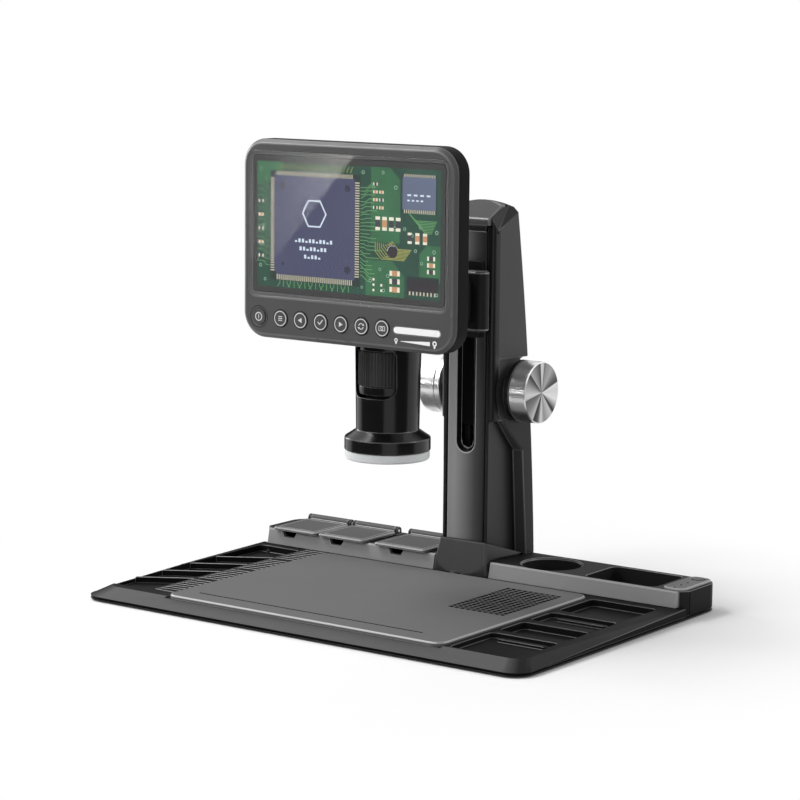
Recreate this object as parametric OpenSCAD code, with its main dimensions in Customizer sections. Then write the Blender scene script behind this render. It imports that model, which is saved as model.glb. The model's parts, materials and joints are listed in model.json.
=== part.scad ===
// Bench microscope with a screen on a rack-driven column and a storage base with three flip lids.
// Millimetres, +Z up, +X right, +Y to the back. The origin is the middle of the base, on the table.

/* [Base] */
// Width of the base, side to side
base_w = 372; // [360:1:420]
// Depth of the base, front to back
base_d = 254; // [250:1:280]
// Corner radius of the base
base_corner_r = 15; // [12:0.5:22]
// Height of the tray's working top above the table
tray_z = 9; // [8.5:0.1:12]
// Height of the rear shelf's top above the table
shelf_z = 20.3; // [19.5:0.1:26]
// Depth of the rear shelf
shelf_d = 50; // [50:0.5:54]
// Width of the bevel along the front
front_bevel_w = 15; // [10:0.5:20]
// Width of the bevel along each side
side_bevel_w = 9.5; // [6:0.5:10]
// Height of the bevel's lower edge at the front
bevel_edge_z = 3.2; // [2.8:0.1:4]
// Height of the rubber feet below the cover
feet_h = 0.8; // [0.6:0.1:2]
// Thickness of the bottom cover
cover_t = 1.6; // [1.4:0.1:2]
// Radius of the rubber feet
feet_r = 8; // [6:0.5:10]

/* [Storage] */
// Height of the deep pocket floors above the table
deep_floor_z = 3.9; // [3.6:0.1:4.4]
// Height of the shallow pocket floors above the table
shallow_floor_z = 5.2; // [4.8:0.1:6]
// Left side of the small parts bin, from the base's edge
side_bin_inset = 5.5; // [4:0.5:8]
// Width of the small parts bin on the left
side_bin_w = 38; // [34:0.5:40]
// Thickness of the slanted ribs in the small parts bin
rib_t = 1.8; // [1.4:0.1:2.6]
// Width of the comb strip
comb_w = 18.4; // [16:0.2:18.8]
// Length of the pockets on the right, side to side
pocket_l = 52; // [48:0.5:53]
// Corner radius of the pockets
pocket_r = 4; // [2:0.5:5]
// Radius of the round cup in the shelf
cup_r = 21.5; // [18:0.5:22]
// Length of the long dish in the shelf
dish_l = 58; // [50:0.5:60]
// Thickness of the lids
lid_t = 2.4; // [2:0.1:3]
// Radius of the lids' hinge pins
lid_pin_r = 1; // [0.8:0.1:1.2]
// Radius of the lids' hinge barrels
lid_barrel_r = 3.1; // [2.9:0.1:3.4]
// How far a lid overhangs the shelf's front
lid_overhang = 4.4; // [3:0.2:5]
// Width of the finger notches in the fascia
notch_w = 14; // [11:0.5:16]
// Depth of the finger notches, from the shelf's top
notch_h = 5; // [4:0.2:6]

/* [Mat] */
// Gap between the mat and the comb strip
mat_comb_gap = 3.15; // [2:0.05:6]
// From the base's front edge to the mat's
mat_front_inset = 13; // [12:0.5:16]
// Thickness of the work mat
mat_t = 2.8; // [2.4:0.1:3.2]
// Corner radius of the work mat
mat_r = 9; // [5:0.5:12]
// Side of the square holes in the mat
mat_hole_w = 3.1; // [2.5:0.1:3.4]
// Spacing of the square holes in the mat
mat_hole_pitch = 4.7; // [4.4:0.1:5.2]

/* [Column] */
// Height of the column above the shelf
column_h = 260; // [256:1:300]
// Width of the front post
post_w = 33.2; // [33:0.1:34.6]
// Depth of the front post
post_d = 19.6; // [19.4:0.1:20.4]
// Wall of the front post
post_wall = 3; // [2.6:0.1:3.2]
// Clear width of the post's slot
slot_w = 10; // [9.8:0.1:11]
// Width across the slot's bevelled rim
slot_rim_w = 16.5; // [14:0.5:18]
// Height of the slot's lower end above the shelf
slot_rise = 77.7; // [70:0.5:79]
// Half the column's width across the flanks at the rear
flank_w = 30.4; // [30:0.1:32]
// How far the column's back leans forward over its height
back_lean = 23; // [20:0.5:26]
// Height of the cap above the post
cap_h = 21; // [16:0.5:24]
// Wall of the rear housing
housing_wall = 2.4; // [2:0.1:2.5]
// Height of the focus shaft above the shelf
shaft_rise = 122.7; // [110:0.5:124]
// Radius of the focus shaft
shaft_r = 3; // [2.6:0.1:3.2]
// Radius of the focus knobs
knob_r = 22.5; // [18:0.5:23]
// Thickness of the focus knobs
knob_t = 14; // [11:0.5:18]
// Radius of the rear lock knob
lock_r = 9.6; // [8:0.2:10]
// Gear module of the rack and pinion
gear_module = 1; // [0.9:0.05:1.05]
// Teeth of the pinion
pinion_teeth = 14; // [13:1:14]

/* [Head] */
// Height of the carriage block's underside above the shelf
block_rise = 167.7; // [160:0.5:170]
// Height of the carriage block
block_h = 44; // [40:1:50]
// Distance from the post's face to the lens axis
head_reach = 95.5; // [88:0.5:110]
// Distance from the lens axis to the screen's face
screen_reach = 49.6; // [47:0.2:54]
// Width of the screen's frame
screen_w = 180; // [176:1:200]
// Height of the screen's frame
screen_h = 137; // [134:1:150]
// Corner radius of the screen's frame
screen_r = 18; // [12:1:24]
// Thickness of the screen's front frame
bezel_t = 15; // [12:0.5:16]
// Thickness of the screen's rear cover
rear_cover_t = 5; // [4.5:0.5:8]
// Border beside the glass, to the screen's edge
glass_side = 6.5; // [6:0.5:10]
// Height of the chin below the glass
glass_chin = 28.9; // [28:0.1:33]
// Radius of the round buttons
button_r = 5.7; // [4.5:0.1:6.5]
// Height of the button row above the screen's lower edge
button_rise = 14.6; // [13.5:0.1:15.5]
// Travel of the round buttons
button_travel = 0.6; // [0.3:0.1:0.7]

/* [Optics] */
// Radius of the barrel at its top
barrel_r = 23; // [22.6:0.1:25]
// Radius of the barrel above its flare
barrel_waist_r = 22; // [21.8:0.1:22.6]
// Radius of the lamp band at the barrel's lower end
lamp_r = 30; // [28.5:0.5:33]
// Height from the diffuser's face to the carriage block's underside
barrel_drop = 81; // [79:0.5:84]
// Radius over the focus wheel's ribs
wheel_r = 20.8; // [20.3:0.1:20.9]
// Ribs round the focus wheel
wheel_ribs = 60; // [40:1:80]
// Outer radius of the lens carrier
carrier_r = 15.2; // [14:0.1:15.6]
// Radius of the objective lens
lens_r = 11; // [9:0.5:12]

/* [Hidden] */

// Clearances: between bodies, for a running fit, for a seated fit, and the overrun of a cut
gap = 0.3;
slip = 0.06;
seat = 0.03;
over = 1;
$fn = 64;

// The base's levels and edges
half_w = base_w / 2;
rear_y = base_d / 2;
front_y = -rear_y;
cover_z = feet_h;
tray_bottom_z = cover_z + cover_t;
shelf_y = rear_y - shelf_d;
fascia_t = 2;
fascia_lean = 2.4;
fascia_end_inset = 6;
fascia_end_x = half_w - fascia_end_inset;
shelf_face_y = shelf_y + fascia_t;
shelf_corner_d = 5.5;
shelf_edge_z = tray_z - 0.8 * gap;
seam_h = 0.6;
seam_inset = 1.4;
feet_sink = 0.5;

// The small parts bin and its ribs, as shares of the bin's length
side_bin_x0 = -half_w + side_bin_inset;
side_bin_x1 = side_bin_x0 + side_bin_w;
bin_front_gap = 8;
side_bin_y0 = front_y + front_bevel_w + bin_front_gap;
bin_rear_gap = 10;
side_bin_y1 = shelf_y - bin_rear_gap;
rib_shares = [0.16, 0.33, 0.515, 0.69];
rib_rise_share = 0.135;
rib_top_drop = 0.6;

// The comb strip and its groups of slanted slots
comb_gap = 1.5;
comb_x0 = side_bin_x1 + comb_gap;
comb_front_gap = 4.5;
comb_y0 = side_bin_y0 + comb_front_gap;
comb_rear_gap = 3;
comb_y1 = shelf_y - comb_rear_gap;
comb_seat_rise = 1;
comb_seat_z = deep_floor_z + comb_seat_rise;
comb_groups = 4;
comb_teeth = 7;
comb_slot_w = 3;
comb_slot_slant = 3.4;
comb_edge = 1.6;

// The pockets on the right, front to back, as shares of the base's depth
pocket_inset = 14.95;
pocket_x1 = half_w - pocket_inset;
pocket_x0 = pocket_x1 - pocket_l;
pocket_y_shares = [[-0.433, -0.236], [-0.205, -0.088], [-0.057, 0.052], [0.083, 0.256]];
pocket_shallow = [true, false, true, false];
rail_w = 4.6;
rail_from_back = 4;
rail_inset = 9;
rail_drop = 1.5;
rail_top_z = tray_z - rail_drop;

// The mat lies in a shallow seat that runs out through the front bevel
mat_sink = 1;
mat_z = tray_z - mat_sink;
mat_top_z = mat_z + mat_t;
mat_x0 = comb_x0 + comb_w + mat_comb_gap;
mat_pocket_gap = 4;
mat_w = pocket_x0 - mat_pocket_gap - mat_x0;
mat_x = mat_x0 + mat_w / 2;
mat_rear_gap = 9;
mat_rear_y = shelf_y - mat_rear_gap;
mat_front_y = front_y + mat_front_inset;
mat_d = mat_rear_y - mat_front_y;
mat_clear = 0.2;
mat_groove_w = 1.2;
mat_groove_depth = 0.5;
mat_groove_inset = 17;
mat_hole_cols = 10;
mat_hole_rows = 16;
mat_field_inset = 11.5;
mat_field_rear = 16.5;
mat_edge = 0.8;

// The lids and the bins under them, as shares from the base's edge to the column
lid_x_shares = [[0.0836, 0.3477], [0.3608, 0.6349], [0.6994, 0.9966]];
notch_shares = [0.1673, 0.4565, 0.8132];
lid_z = shelf_z + gap;
lid_corner_r = 3;
lid_edge = 0.7;
lid_groove_w = 0.9;
lid_groove_depth = 0.4;
lid_groove_inset = 3.2;
lid_pin_inset = 7.6;
lid_pin_y = rear_y - lid_pin_inset;
lid_pin_rise = 2.7;
lid_pin_z = shelf_z + lid_pin_rise;
lid_front_y = shelf_y - lid_overhang;
ear_t = 2.6;
box_wall = 2.6;
box_front_wall = 2.4;
box_front_y = shelf_face_y + box_front_wall;
box_rear_wall = 1.6;
box_rear_y = lid_pin_y - lid_barrel_r - box_rear_wall;

// The cup, the dish and the control pad on the shelf
cup_x = half_w * 0.333;
cup_y = shelf_y + shelf_d * 0.48;
cup_floor_rise = 1;
cup_floor_z = deep_floor_z + cup_floor_rise;
dish_inset = 26.5;
dish_x1 = half_w - dish_inset;
dish_x0 = dish_x1 - dish_l;
dish_wall = 3.5;
dish_floor_drop = 1;
dish_floor_z = tray_z - dish_floor_drop;
pad_w = 18;
pad_inset = 11.8;
pad_x = half_w - pad_inset;
pad_front_gap = 2.6;
pad_y0 = shelf_y + pad_front_gap;
pad_rear_gap = 4;
pad_y1 = rear_y - pad_rear_gap;
pad_t = 1.7;
pad_r = 6;
pad_skirt_wall = 1.4;
pad_skirt_h = 2;
pad_well_inset = 1.2;
pad_well_drop = 1;
pad_well_z = tray_z - pad_well_drop;
pad_z = shelf_z + seat;
pad_top_z = pad_z + pad_t;
pad_button_r = 5;
pad_button_inset = 10.8;
pad_button_y = rear_y - pad_button_inset;
pad_button_travel = 0.5;
pad_button_proud = 0.3;
pad_flange_t = 1;
pad_flange_w = 0.9;
pad_flange_r = pad_button_r + pad_flange_w;
pad_flange_half_d = 4;
pad_lens_r = 1.2;
pad_lens_inset = 6.3;
pad_lens_y0 = shelf_y + pad_lens_inset;
pad_lens_pitch = 9;
pad_lens_below = 0.6;
pad_lens_t = pad_t + pad_lens_below;
pad_board_t = 1.6;
pad_board_drop = 7;
pad_board_z = pad_z - pad_board_drop;
pad_dish_r = 12;
pad_dish_depth = 0.7;

// The power socket in the shelf's back
inlet_w = 9.2;
inlet_h = 3.4;
inlet_d = 7.4;
inlet_lip_r = 1.6;
inlet_slot_w = 8.4;
inlet_slot_h = 2.6;
inlet_slot_d = 5.8;
inlet_z = pad_board_z + pad_board_t;

// Screws from below, as shares of the base's half width and half depth
screw_shares = [[-0.93, -0.86], [0.93, -0.84], [-0.93, 0.52], [0.93, 0.52],
        [-0.34, -0.86], [0.34, -0.86], [-0.34, 0.93], [0.34, 0.93]];
screw_r = 1.2;
screw_head_r = 2.4;
screw_l = 4.4;
feet_shares = [[-0.86, -0.78], [0, -0.78], [0.86, -0.78], [0, 0], [-0.86, 0.78], [0, 0.78], [0.86, 0.78]];

// The column's plan: the post's face, its back, and the housing behind it
post_inset = 48;
post_y = rear_y - post_inset;
post_back_y = post_y + post_d;
post_corner_r = 2.5;
side_groove_d = 0.8;
side_groove_w = 1.2;
post_floor_t = 5;
post_half = post_w / 2;
post_in = post_half - post_wall;
column_z = shelf_z + seat;
column_top_z = shelf_z + column_h;
post_top_z = column_top_z - cap_h;
shaft_set_back = 8.4;
shaft_y = post_back_y + shaft_set_back;
shaft_z = shelf_z + shaft_rise;
block_z = shelf_z + block_rise;
flank_lead = 3;
flank_y = post_y - flank_lead;
flank_edge_d = 7;
flank_edge_y = post_y + flank_edge_d;
flank_strip_w = 6.7;
flank_edge_x = post_half + flank_strip_w;
strip_y = post_y + gap;
cap_side = 2.9;
cap_half = post_half + cap_side;
crown_r = 60;
flank_flare = (flank_w - flank_edge_x) / (rear_y - flank_edge_y);
back_inset = 0.6;
back_foot_y = rear_y - back_inset;
back_bow = 3.2;
crest_r = 5;
cap_nose_r = 3;
cap_face_h = 10.5;
cheek_rise = 102;
cheek_z = shelf_z + cheek_rise;
cheek_slant_h = 24;
cheek_slant_d = 22;
flange_foot_d = 9.6;
flange_foot_y = rear_y - flange_foot_d;
seat_rise = 24;
seat_top_z = shaft_z + seat_rise;
knob_seat_wall = 5.4;
knob_seat_x = post_half + knob_seat_wall;
knob_seat_h = 43;
cavity_side = 2.9;
cavity_x = post_in + cavity_side;
web_inset = 3.4;
web_x = post_in - web_inset;
lock_web_inset = 7.7;
lock_web_x = post_in - lock_web_inset;
web_t = 3;
cap_recess_h = 4.2;
cap_plug_h = 3;

// Screws that hold the column from below, and the moulded foot round its lower end
column_screw_x = 11;
column_screw_y0 = post_y + post_d / 2;
column_screw_inset = 13;
column_screw_y1 = rear_y - column_screw_inset;
column_screw_r = 2;
column_screw_head_r = 3.8;
column_screw_head_t = 3;
column_screw_sink = 0.6;
column_screw_z = tray_bottom_z + column_screw_head_t + column_screw_sink;
column_screw_bite = 4;
column_screw_l = column_z + column_screw_bite - column_screw_z;
foot_side = 6.8;
foot_half = post_half + foot_side;
foot_lead = 7.6;
foot_front_y = post_y - foot_lead;
foot_lip_lead = 1.6;
foot_lip_y = post_y - foot_lip_lead;
foot_h = 25.5;
foot_back_y = flange_foot_y - 2 * gap;
foot_bulge_r = 3 * post_w;
foot_flare = 8;
foot_rake = 9;
foot_end_gap = 1;

// The slot, the slide and the rack behind it
slot_z = shelf_z + slot_rise;
slot_above = 5;
slot_top_z = block_z + block_h + slot_above;
rim_bevel = (slot_rim_w - slot_w) / 2;
pitch_r = gear_module * pinion_teeth / 2;
tip_r = pitch_r + gear_module;
root_r = pitch_r - 1.25 * gear_module;
pressure_angle = 20;
base_circle_r = pitch_r * cos(pressure_angle);
backlash = 0.2;
half_tooth_angle = 90 / pinion_teeth - backlash / 4 / pitch_r * 180 / PI;
flank_steps = 5;
rack_addendum = 0.8 * gear_module;
rack_pitch_y = shaft_y - pitch_r;
rack_w = 8;
pinion_w = rack_w + 1;
rack_x = gap + pinion_w / 2 - web_x;
rack_below = 25;
rack_l = 118;
rack_z0 = shaft_z - rack_below;
rack_t = 6;
rack_back_y = rack_pitch_y - rack_t;
slide_half = post_in - gap;
slide_front_y = post_y + post_wall + gap;
slide_back_y = rack_back_y;
slide_flange_y = post_back_y - 0.3 * gap;
neck_half = slot_w / 2 - gap;
neck_rise = 6;
neck_z0 = block_z + neck_rise;
neck_h = 20;
neck_z1 = neck_z0 + neck_h;

// The shaft's bushes and collars, and the knobs
bush_wall = 3;
bush_r = shaft_r + bush_wall;
collar_hub_l = 6;
collar_x = knob_seat_x + collar_hub_l;
collar_t = 4.6;
collar_hub_wall = 4;
collar_hub_r = bush_r + collar_hub_wall;
knob_x = collar_x + collar_t + gap;
knob_face_t = 1.5;
shaft_half_l = knob_x + knob_t - knob_face_t;
knob_edge = 0.8;

// The rear lock
lock_x = 9.9;
lock_rise = 28;
lock_z = shaft_z + lock_rise;
lock_screw_r = 3;
lock_boss_r = 6;
lock_head_d = 9.4;
lock_head_y = rear_y - lock_head_d;
lock_end_y = rear_y;
lock_lobes = 12;
lock_lobe_r = 1;
brake_r = 3;
brake_t = 2.4;

// The carriage block and the head behind the screen
block_side = 4.9;
block_half = post_half + block_side;
block_lead = 12;
block_front_y = post_y - block_lead;
block_back_y = flank_y - gap;
block_r = 7;
block_edge = 1.5;
wiper_inset = 1.6;
wiper_half = post_half - wiper_inset;
wiper_y = post_y - gap;
wiper_below = 5;
wiper_above = 6;
barrel_y = post_y - head_reach;
arm_w = 24;
arm_h = 36;
arm_r = 6;
core_w = 54;
core_h = 58;
core_r = 9;
core_wall = 2.2;
core_back_y = barrel_y + barrel_r + core_wall;
arm_z = block_z + block_h / 2;

// The screen: its face, frame, glass, panel, boards and rear cover
screen_y = barrel_y - screen_reach;
screen_lift = 2.1;
screen_z = block_z + screen_lift + screen_h / 2;
bezel_back_y = screen_y + bezel_t;
cover_back_y = bezel_back_y + rear_cover_t;
bezel_edge = 3;
bezel_wall = 2.6;
bezel_front_t = 3;
glass_w = screen_w - 2 * glass_side;
glass_top = 8.1;
glass_h = screen_h - glass_top - glass_chin;
glass_z = screen_z - screen_h / 2 + glass_chin + glass_h / 2;
glass_t = 1.3;
glass_r = 6;
glass_proud = 0.3;
glass_clear = 0.2;
lcd_inset = 3;
lcd_t = 4;
cover_inset = 5;
cover_wall = 2.2;
main_board_w = 0.9 * glass_w;
main_board_h = 0.8 * glass_h;
board_t = 1.6;
main_board_inset = 3.5;
main_board_y = bezel_back_y - main_board_inset;
chip_shares = [[-0.3, 0.2, 0.12, 0.22], [0.05, -0.1, 0.16, 0.28], [0.34, 0.24, 0.1, 0.16]];
chip_t = 1.4;
post_shares = [[-0.46, -0.42], [0.46, -0.42], [-0.46, 0.42], [0.46, 0.42]];
boss_r = 3;
button_z = screen_z - screen_h / 2 + button_rise;
button_row_shares = [-0.41444, -0.30889, 0.09611];
button_pitch = button_row_shares[2] * screen_w;
menu_x = button_row_shares[1] * screen_w;
button_xs = concat([button_row_shares[0] * screen_w], [for (i = [0:5]) menu_x + i * button_pitch]);
button_board_d = 7;
button_board_y = screen_y + button_board_d;
button_board_h = 12;
button_skin = 0.5;
button_flange_t = 1;
button_flange_w = 0.7;
button_flange_r = button_r + button_flange_w;
button_clear = 0.2;
switch_w = 5;
switch_t = 1.8;
strip_shares = [0.33, 0.2111];
strip_w = strip_shares[1] * screen_w;
strip_h = 4.4;
strip_x = strip_shares[0] * screen_w;
strip_drop = 0.2;
strip_z = button_z - strip_drop;
strip_t = 2;
strip_proud = 0.2;
rear_screw_shares = [[-0.42, -0.4], [0.42, -0.4], [-0.42, 0.4], [0.42, 0.4]];
rear_screw_r = 1.3;
rear_screw_head_r = 2.4;
rear_screw_head_t = 1.2;
rear_screw_l = 6;

// The barrel, from the diffuser's face upwards
lamp_z = block_z - barrel_drop;
diffuser_t = 6.3;
band_gap = 0.2;
band_z0 = lamp_z + diffuser_t + band_gap;
band_h = 9.1;
band_z1 = band_z0 + band_h;
flare_h = 5;
flare_z = band_z1 + flare_h;
barrel_wall = 1.7;
barrel_socket = 12;
barrel_top_z = block_z + barrel_socket;
window_rise = 44;
window_z0 = lamp_z + window_rise;
window_top_rise = 80;
window_z1 = lamp_z + window_top_rise;
window_w = 35;
window_r = 8;
wheel_rise = 52;
wheel_z0 = lamp_z + wheel_rise;
wheel_top_rise = 76;
wheel_z1 = lamp_z + wheel_top_rise;
wheel_rib_depth = 0.6;
seat_ring_rise = 46;
seat_ring_z0 = lamp_z + seat_ring_rise;
carrier_rise = 14;
carrier_z0 = lamp_z + carrier_rise;
carrier_top_rise = 69;
carrier_z1 = lamp_z + carrier_top_rise;
carrier_wall = 3;
carrier_hole_r = carrier_r + gap;
lens_ledge = 1;
lens_z = carrier_z0 + lens_ledge;
lens_t = 6;
lens_sphere_r = 22;
diffuser_inset = 0.6;
diffuser_r = lamp_r - diffuser_inset;
diffuser_hole_r = 13.6;
band_wall = 2.4;
led_board_r = lamp_r - band_wall;
led_board_hole_r = 17;
led_board_rise = 3.2;
led_board_z = band_z0 + led_board_rise;
led_count = 12;
led_w = 2.8;
led_t = 0.9;
sensor_r = 17;
sensor_rise = 5;
sensor_z = barrel_top_z + sensor_rise;
sensor_chip_w = 12;

// A rectangle with round corners, centred
module round_rect(w, d, r) {
  square([w - 2 * r, d], center = true);
  square([w, d - 2 * r], center = true);
  for (sx = [-1, 1], sy = [-1, 1])
    translate([sx * (w / 2 - r), sy * (d / 2 - r)]) circle(r = r);
}

// A plate with round corners that narrows by an inset over its height
module taper(w, d, r, inset, h) {
  for (sx = [-1, 1], sy = [-1, 1])
    translate([sx * (w / 2 - r), sy * (d / 2 - r), 0]) cylinder(r1 = r, r2 = r - inset, h = h);
  translate([r - w / 2, 0, 0]) rotate([90, 0, 90]) linear_extrude(w - 2 * r)
    polygon([[-d / 2, 0], [d / 2, 0], [d / 2 - inset, h], [inset - d / 2, h]]);
  translate([0, d / 2 - r, 0]) rotate([90, 0, 0]) linear_extrude(d - 2 * r)
    polygon([[-w / 2, 0], [w / 2, 0], [w / 2 - inset, h], [inset - w / 2, h]]);
}

// A plate with round corners and both its edges bevelled
module bevelled(w, d, h, r, low, high) {
  translate([0, 0, low]) mirror([0, 0, 1]) taper(w, d, r, low, low);
  translate([0, 0, low]) linear_extrude(h - low - high) round_rect(w, d, r);
  translate([0, 0, h - high]) taper(w, d, r, high, high);
}

// The same between two corners, upright
module bevelled_slab(x0, x1, y0, y1, z0, z1, r, low, high) {
  translate([(x0 + x1) / 2, (y0 + y1) / 2, z0]) bevelled(x1 - x0, y1 - y0, z1 - z0, r, low, high);
}

// An upright slab between two corners, with round upright edges
module slab(x0, x1, y0, y1, z0, z1, r) {
  translate([(x0 + x1) / 2, (y0 + y1) / 2, z0])
    linear_extrude(z1 - z0) round_rect(x1 - x0, y1 - y0, r);
}

// A plain box between two corners
module block(x0, x1, y0, y1, z0, z1) {
  translate([x0, y0, z0]) cube([x1 - x0, y1 - y0, z1 - z0]);
}

// A flat shape drawn in Y and Z, extruded along X
module along_x(x0, x1) {
  translate([x0, 0, 0]) rotate([90, 0, 90]) linear_extrude(x1 - x0) children();
}

// A flat shape drawn in X and Z, extruded along Y
module along_y(y0, y1) {
  translate([0, y1, 0]) rotate([90, 0, 0]) linear_extrude(y1 - y0) children();
}

// A round bar along X, and one along Y
module bar_x(x0, x1, y, z, r) {
  translate([x0, y, z]) rotate([0, 90, 0]) cylinder(r = r, h = x1 - x0);
}

module bar_y(y0, y1, x, z, r) {
  translate([x, y1, z]) rotate([90, 0, 0]) cylinder(r = r, h = y1 - y0);
}

// A slot with round ends, upright, drawn in X and Z
module upright_slot(w, z0, z1) {
  translate([-w / 2, z0 + w / 2]) square([w, z1 - z0 - w]);
  translate([0, z0 + w / 2]) circle(d = w);
  translate([0, z1 - w / 2]) circle(d = w);
}

// The countersunk screw that holds the bottom cover
module cover_screw(r, head_r, l) {
  cylinder(r1 = head_r, r2 = r, h = head_r - r);
  cylinder(r = r, h = l);
}

// The base's outline, which the tray and the bottom cover share
module base_outline(inset = 0) {
  round_rect(base_w - 2 * inset, base_d - 2 * inset, base_corner_r - inset);
}

// The tray's outer form: a flat slab whose front and sides fall away in bevels
module tray_body() {
  top_w = base_w - 2 * side_bevel_w;
  top_d = base_d - front_bevel_w;
  hull() {
    translate([0, 0, tray_bottom_z]) linear_extrude(bevel_edge_z - tray_bottom_z) base_outline();
    translate([0, front_bevel_w / 2, tray_bottom_z])
      linear_extrude(tray_z - tray_bottom_z) round_rect(top_w, top_d, base_corner_r * 0.75);
    intersection() {
      translate([0, 0, tray_bottom_z]) linear_extrude(shelf_edge_z - tray_bottom_z) base_outline();
      block(-half_w, half_w, shelf_y, rear_y, 0, tray_z);
    }
  }
}

// The rear shelf's outer form, with faceted front corners
module shelf_body() {
  intersection() {
    translate([0, 0, tray_bottom_z]) linear_extrude(shelf_z - tray_bottom_z) base_outline();
    translate([0, 0, tray_bottom_z]) linear_extrude(shelf_z - tray_bottom_z)
      polygon([[-fascia_end_x, shelf_face_y], [fascia_end_x, shelf_face_y],
          [half_w, shelf_face_y + shelf_corner_d], [half_w, rear_y],
          [-half_w, rear_y], [-half_w, shelf_face_y + shelf_corner_d]]);
  }
}

function wing_x(share) = share * (half_w - flank_w) - half_w;
function lid_x0(i) = wing_x(lid_x_shares[i][0]);
function lid_x1(i) = wing_x(lid_x_shares[i][1]);

// The two ears that carry one lid's pin
module lid_ears(i) {
  for (x = [lid_x0(i), lid_x1(i) - ear_t]) {
    bar_x(x, x + ear_t, lid_pin_y, lid_pin_z, lid_barrel_r);
    block(x, x + ear_t, lid_pin_y - lid_barrel_r, lid_pin_y + lid_barrel_r, shelf_z - over, lid_pin_z);
  }
}

// One pocket on the right, with a low rail at the back of the shallow ones
module pocket(i) {
  y0 = pocket_y_shares[i][0] * base_d;
  y1 = pocket_y_shares[i][1] * base_d;
  floor_z = pocket_shallow[i] ? shallow_floor_z : deep_floor_z;
  difference() {
    slab(pocket_x0, pocket_x1, y0, y1, floor_z, tray_z + over, pocket_r);
    if (pocket_shallow[i])
      slab(pocket_x0 + rail_inset, pocket_x1 - rail_inset / 2, y1 - rail_from_back - rail_w,
        y1 - rail_from_back, floor_z - over, rail_top_z, rail_w / 2 - seat);
  }
}

module finger_notch(i) {
  x = wing_x(notch_shares[i]);
  along_y(shelf_y - fascia_lean - over, box_front_y + over)
    polygon([[x - notch_w / 2, shelf_z + over], [x - notch_w / 2, shelf_z],
        [x - notch_w / 2 + notch_h / 2, shelf_z - notch_h],
        [x + notch_w / 2 - notch_h / 2, shelf_z - notch_h],
        [x + notch_w / 2, shelf_z], [x + notch_w / 2, shelf_z + over]]);
}

// Places of the four column screws
module at_column_screws() {
  for (x = [-column_screw_x, column_screw_x], y = [column_screw_y0, column_screw_y1])
    translate([x, y, 0]) children();
}

// Step round the lower edge, a dark seam
module seam_cut() {
  difference() {
    block(-half_w - over, half_w + over, front_y - over, rear_y + over, cover_z,
       tray_bottom_z + seam_h);
    translate([0, 0, cover_z - over]) linear_extrude(tray_bottom_z + over) base_outline(seam_inset);
  }
}

// Holes for the screws of the cover and of the column
module screw_holes() {
  for (s = screw_shares)
    translate([s[0] * half_w, s[1] * rear_y, tray_bottom_z - over])
      cylinder(r = screw_r + seat, h = screw_l);
  at_column_screws() {
    translate([0, 0, tray_bottom_z - over])
      cylinder(r = column_screw_head_r + gap, h = column_screw_z - tray_bottom_z + over);
    translate([0, 0, tray_bottom_z]) cylinder(r = column_screw_r + seat, h = shelf_z);
  }
}

module base_tray() color([0.09, 0.09, 0.1])
  difference() {
    tray_body();
    block(-half_w - over, half_w + over, shelf_face_y - seat, rear_y + over, cover_z, shelf_z);
    seam_cut();
    // Seat of the mat, open at the front
    slab(mat_x - mat_w / 2 - mat_clear, mat_x + mat_w / 2 + mat_clear, mat_front_y - base_corner_r,
      mat_rear_y + mat_clear, mat_z, tray_z + over, mat_r);
    slab(side_bin_x0, side_bin_x1, side_bin_y0, side_bin_y1, deep_floor_z, tray_z + over, pocket_r);
    block(comb_x0 - mat_clear, comb_x0 + comb_w + mat_clear, comb_y0 - mat_clear, comb_y1 + mat_clear,
       comb_seat_z, tray_z + over);
    for (i = [0:3]) pocket(i);
    screw_holes();
  }

module rear_shelf() color([0.09, 0.09, 0.1])
  difference() {
    union() {
      shelf_body();
      for (i = [0:2]) lid_ears(i);
    }
    seam_cut();
    // The bins under the lids, their notches and the channels of the hinges
    for (i = [0:2]) {
      slab(lid_x0(i) + box_wall, lid_x1(i) - box_wall, box_front_y, box_rear_y, deep_floor_z,
        shelf_z + over, pocket_r / 2);
      finger_notch(i);
      bar_x(lid_x0(i) + ear_t, lid_x1(i) - ear_t, lid_pin_y, lid_pin_z, lid_barrel_r + gap);
      bar_x(lid_x0(i) - over, lid_x1(i) + over, lid_pin_y, lid_pin_z, lid_pin_r + seat);
    }
    // The cup, with a rolled rim, and the dish
    translate([cup_x, cup_y, cup_floor_z]) cylinder(r = cup_r, h = shelf_z, $fn = 96);
    translate([cup_x, cup_y, shelf_z - over])
      cylinder(r1 = cup_r, r2 = cup_r + 2 * over, h = 2 * over, $fn = 96);
    slab(dish_x0, dish_x1, shelf_face_y + dish_wall / 2, rear_y - dish_wall, dish_floor_z,
      shelf_z + over, pocket_r + 2 * over);
    // The well under the control pad, and the socket's opening
    slab(pad_x - pad_w / 2 + pad_well_inset, pad_x + pad_w / 2 - pad_well_inset,
      pad_y0 + pad_well_inset, pad_y1 - pad_well_inset, pad_well_z, shelf_z + over,
      pad_r - pad_well_inset);
    along_y(pad_y1 - pad_well_inset - over, rear_y + over)
      translate([pad_x, inlet_z + inlet_h / 2])
        round_rect(inlet_w + 2 * seat, inlet_h + 2 * seat, inlet_lip_r);
    screw_holes();
    // The joints of its five mouldings: between the lids and under the column
    for (x = [(lid_x1(0) + lid_x0(1)) / 2, (lid_x1(1) + lid_x0(2)) / 2, -post_half, post_half])
      block(x - gap / 2, x + gap / 2, shelf_y, rear_y + over, cover_z, shelf_z + over);
  }

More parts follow.
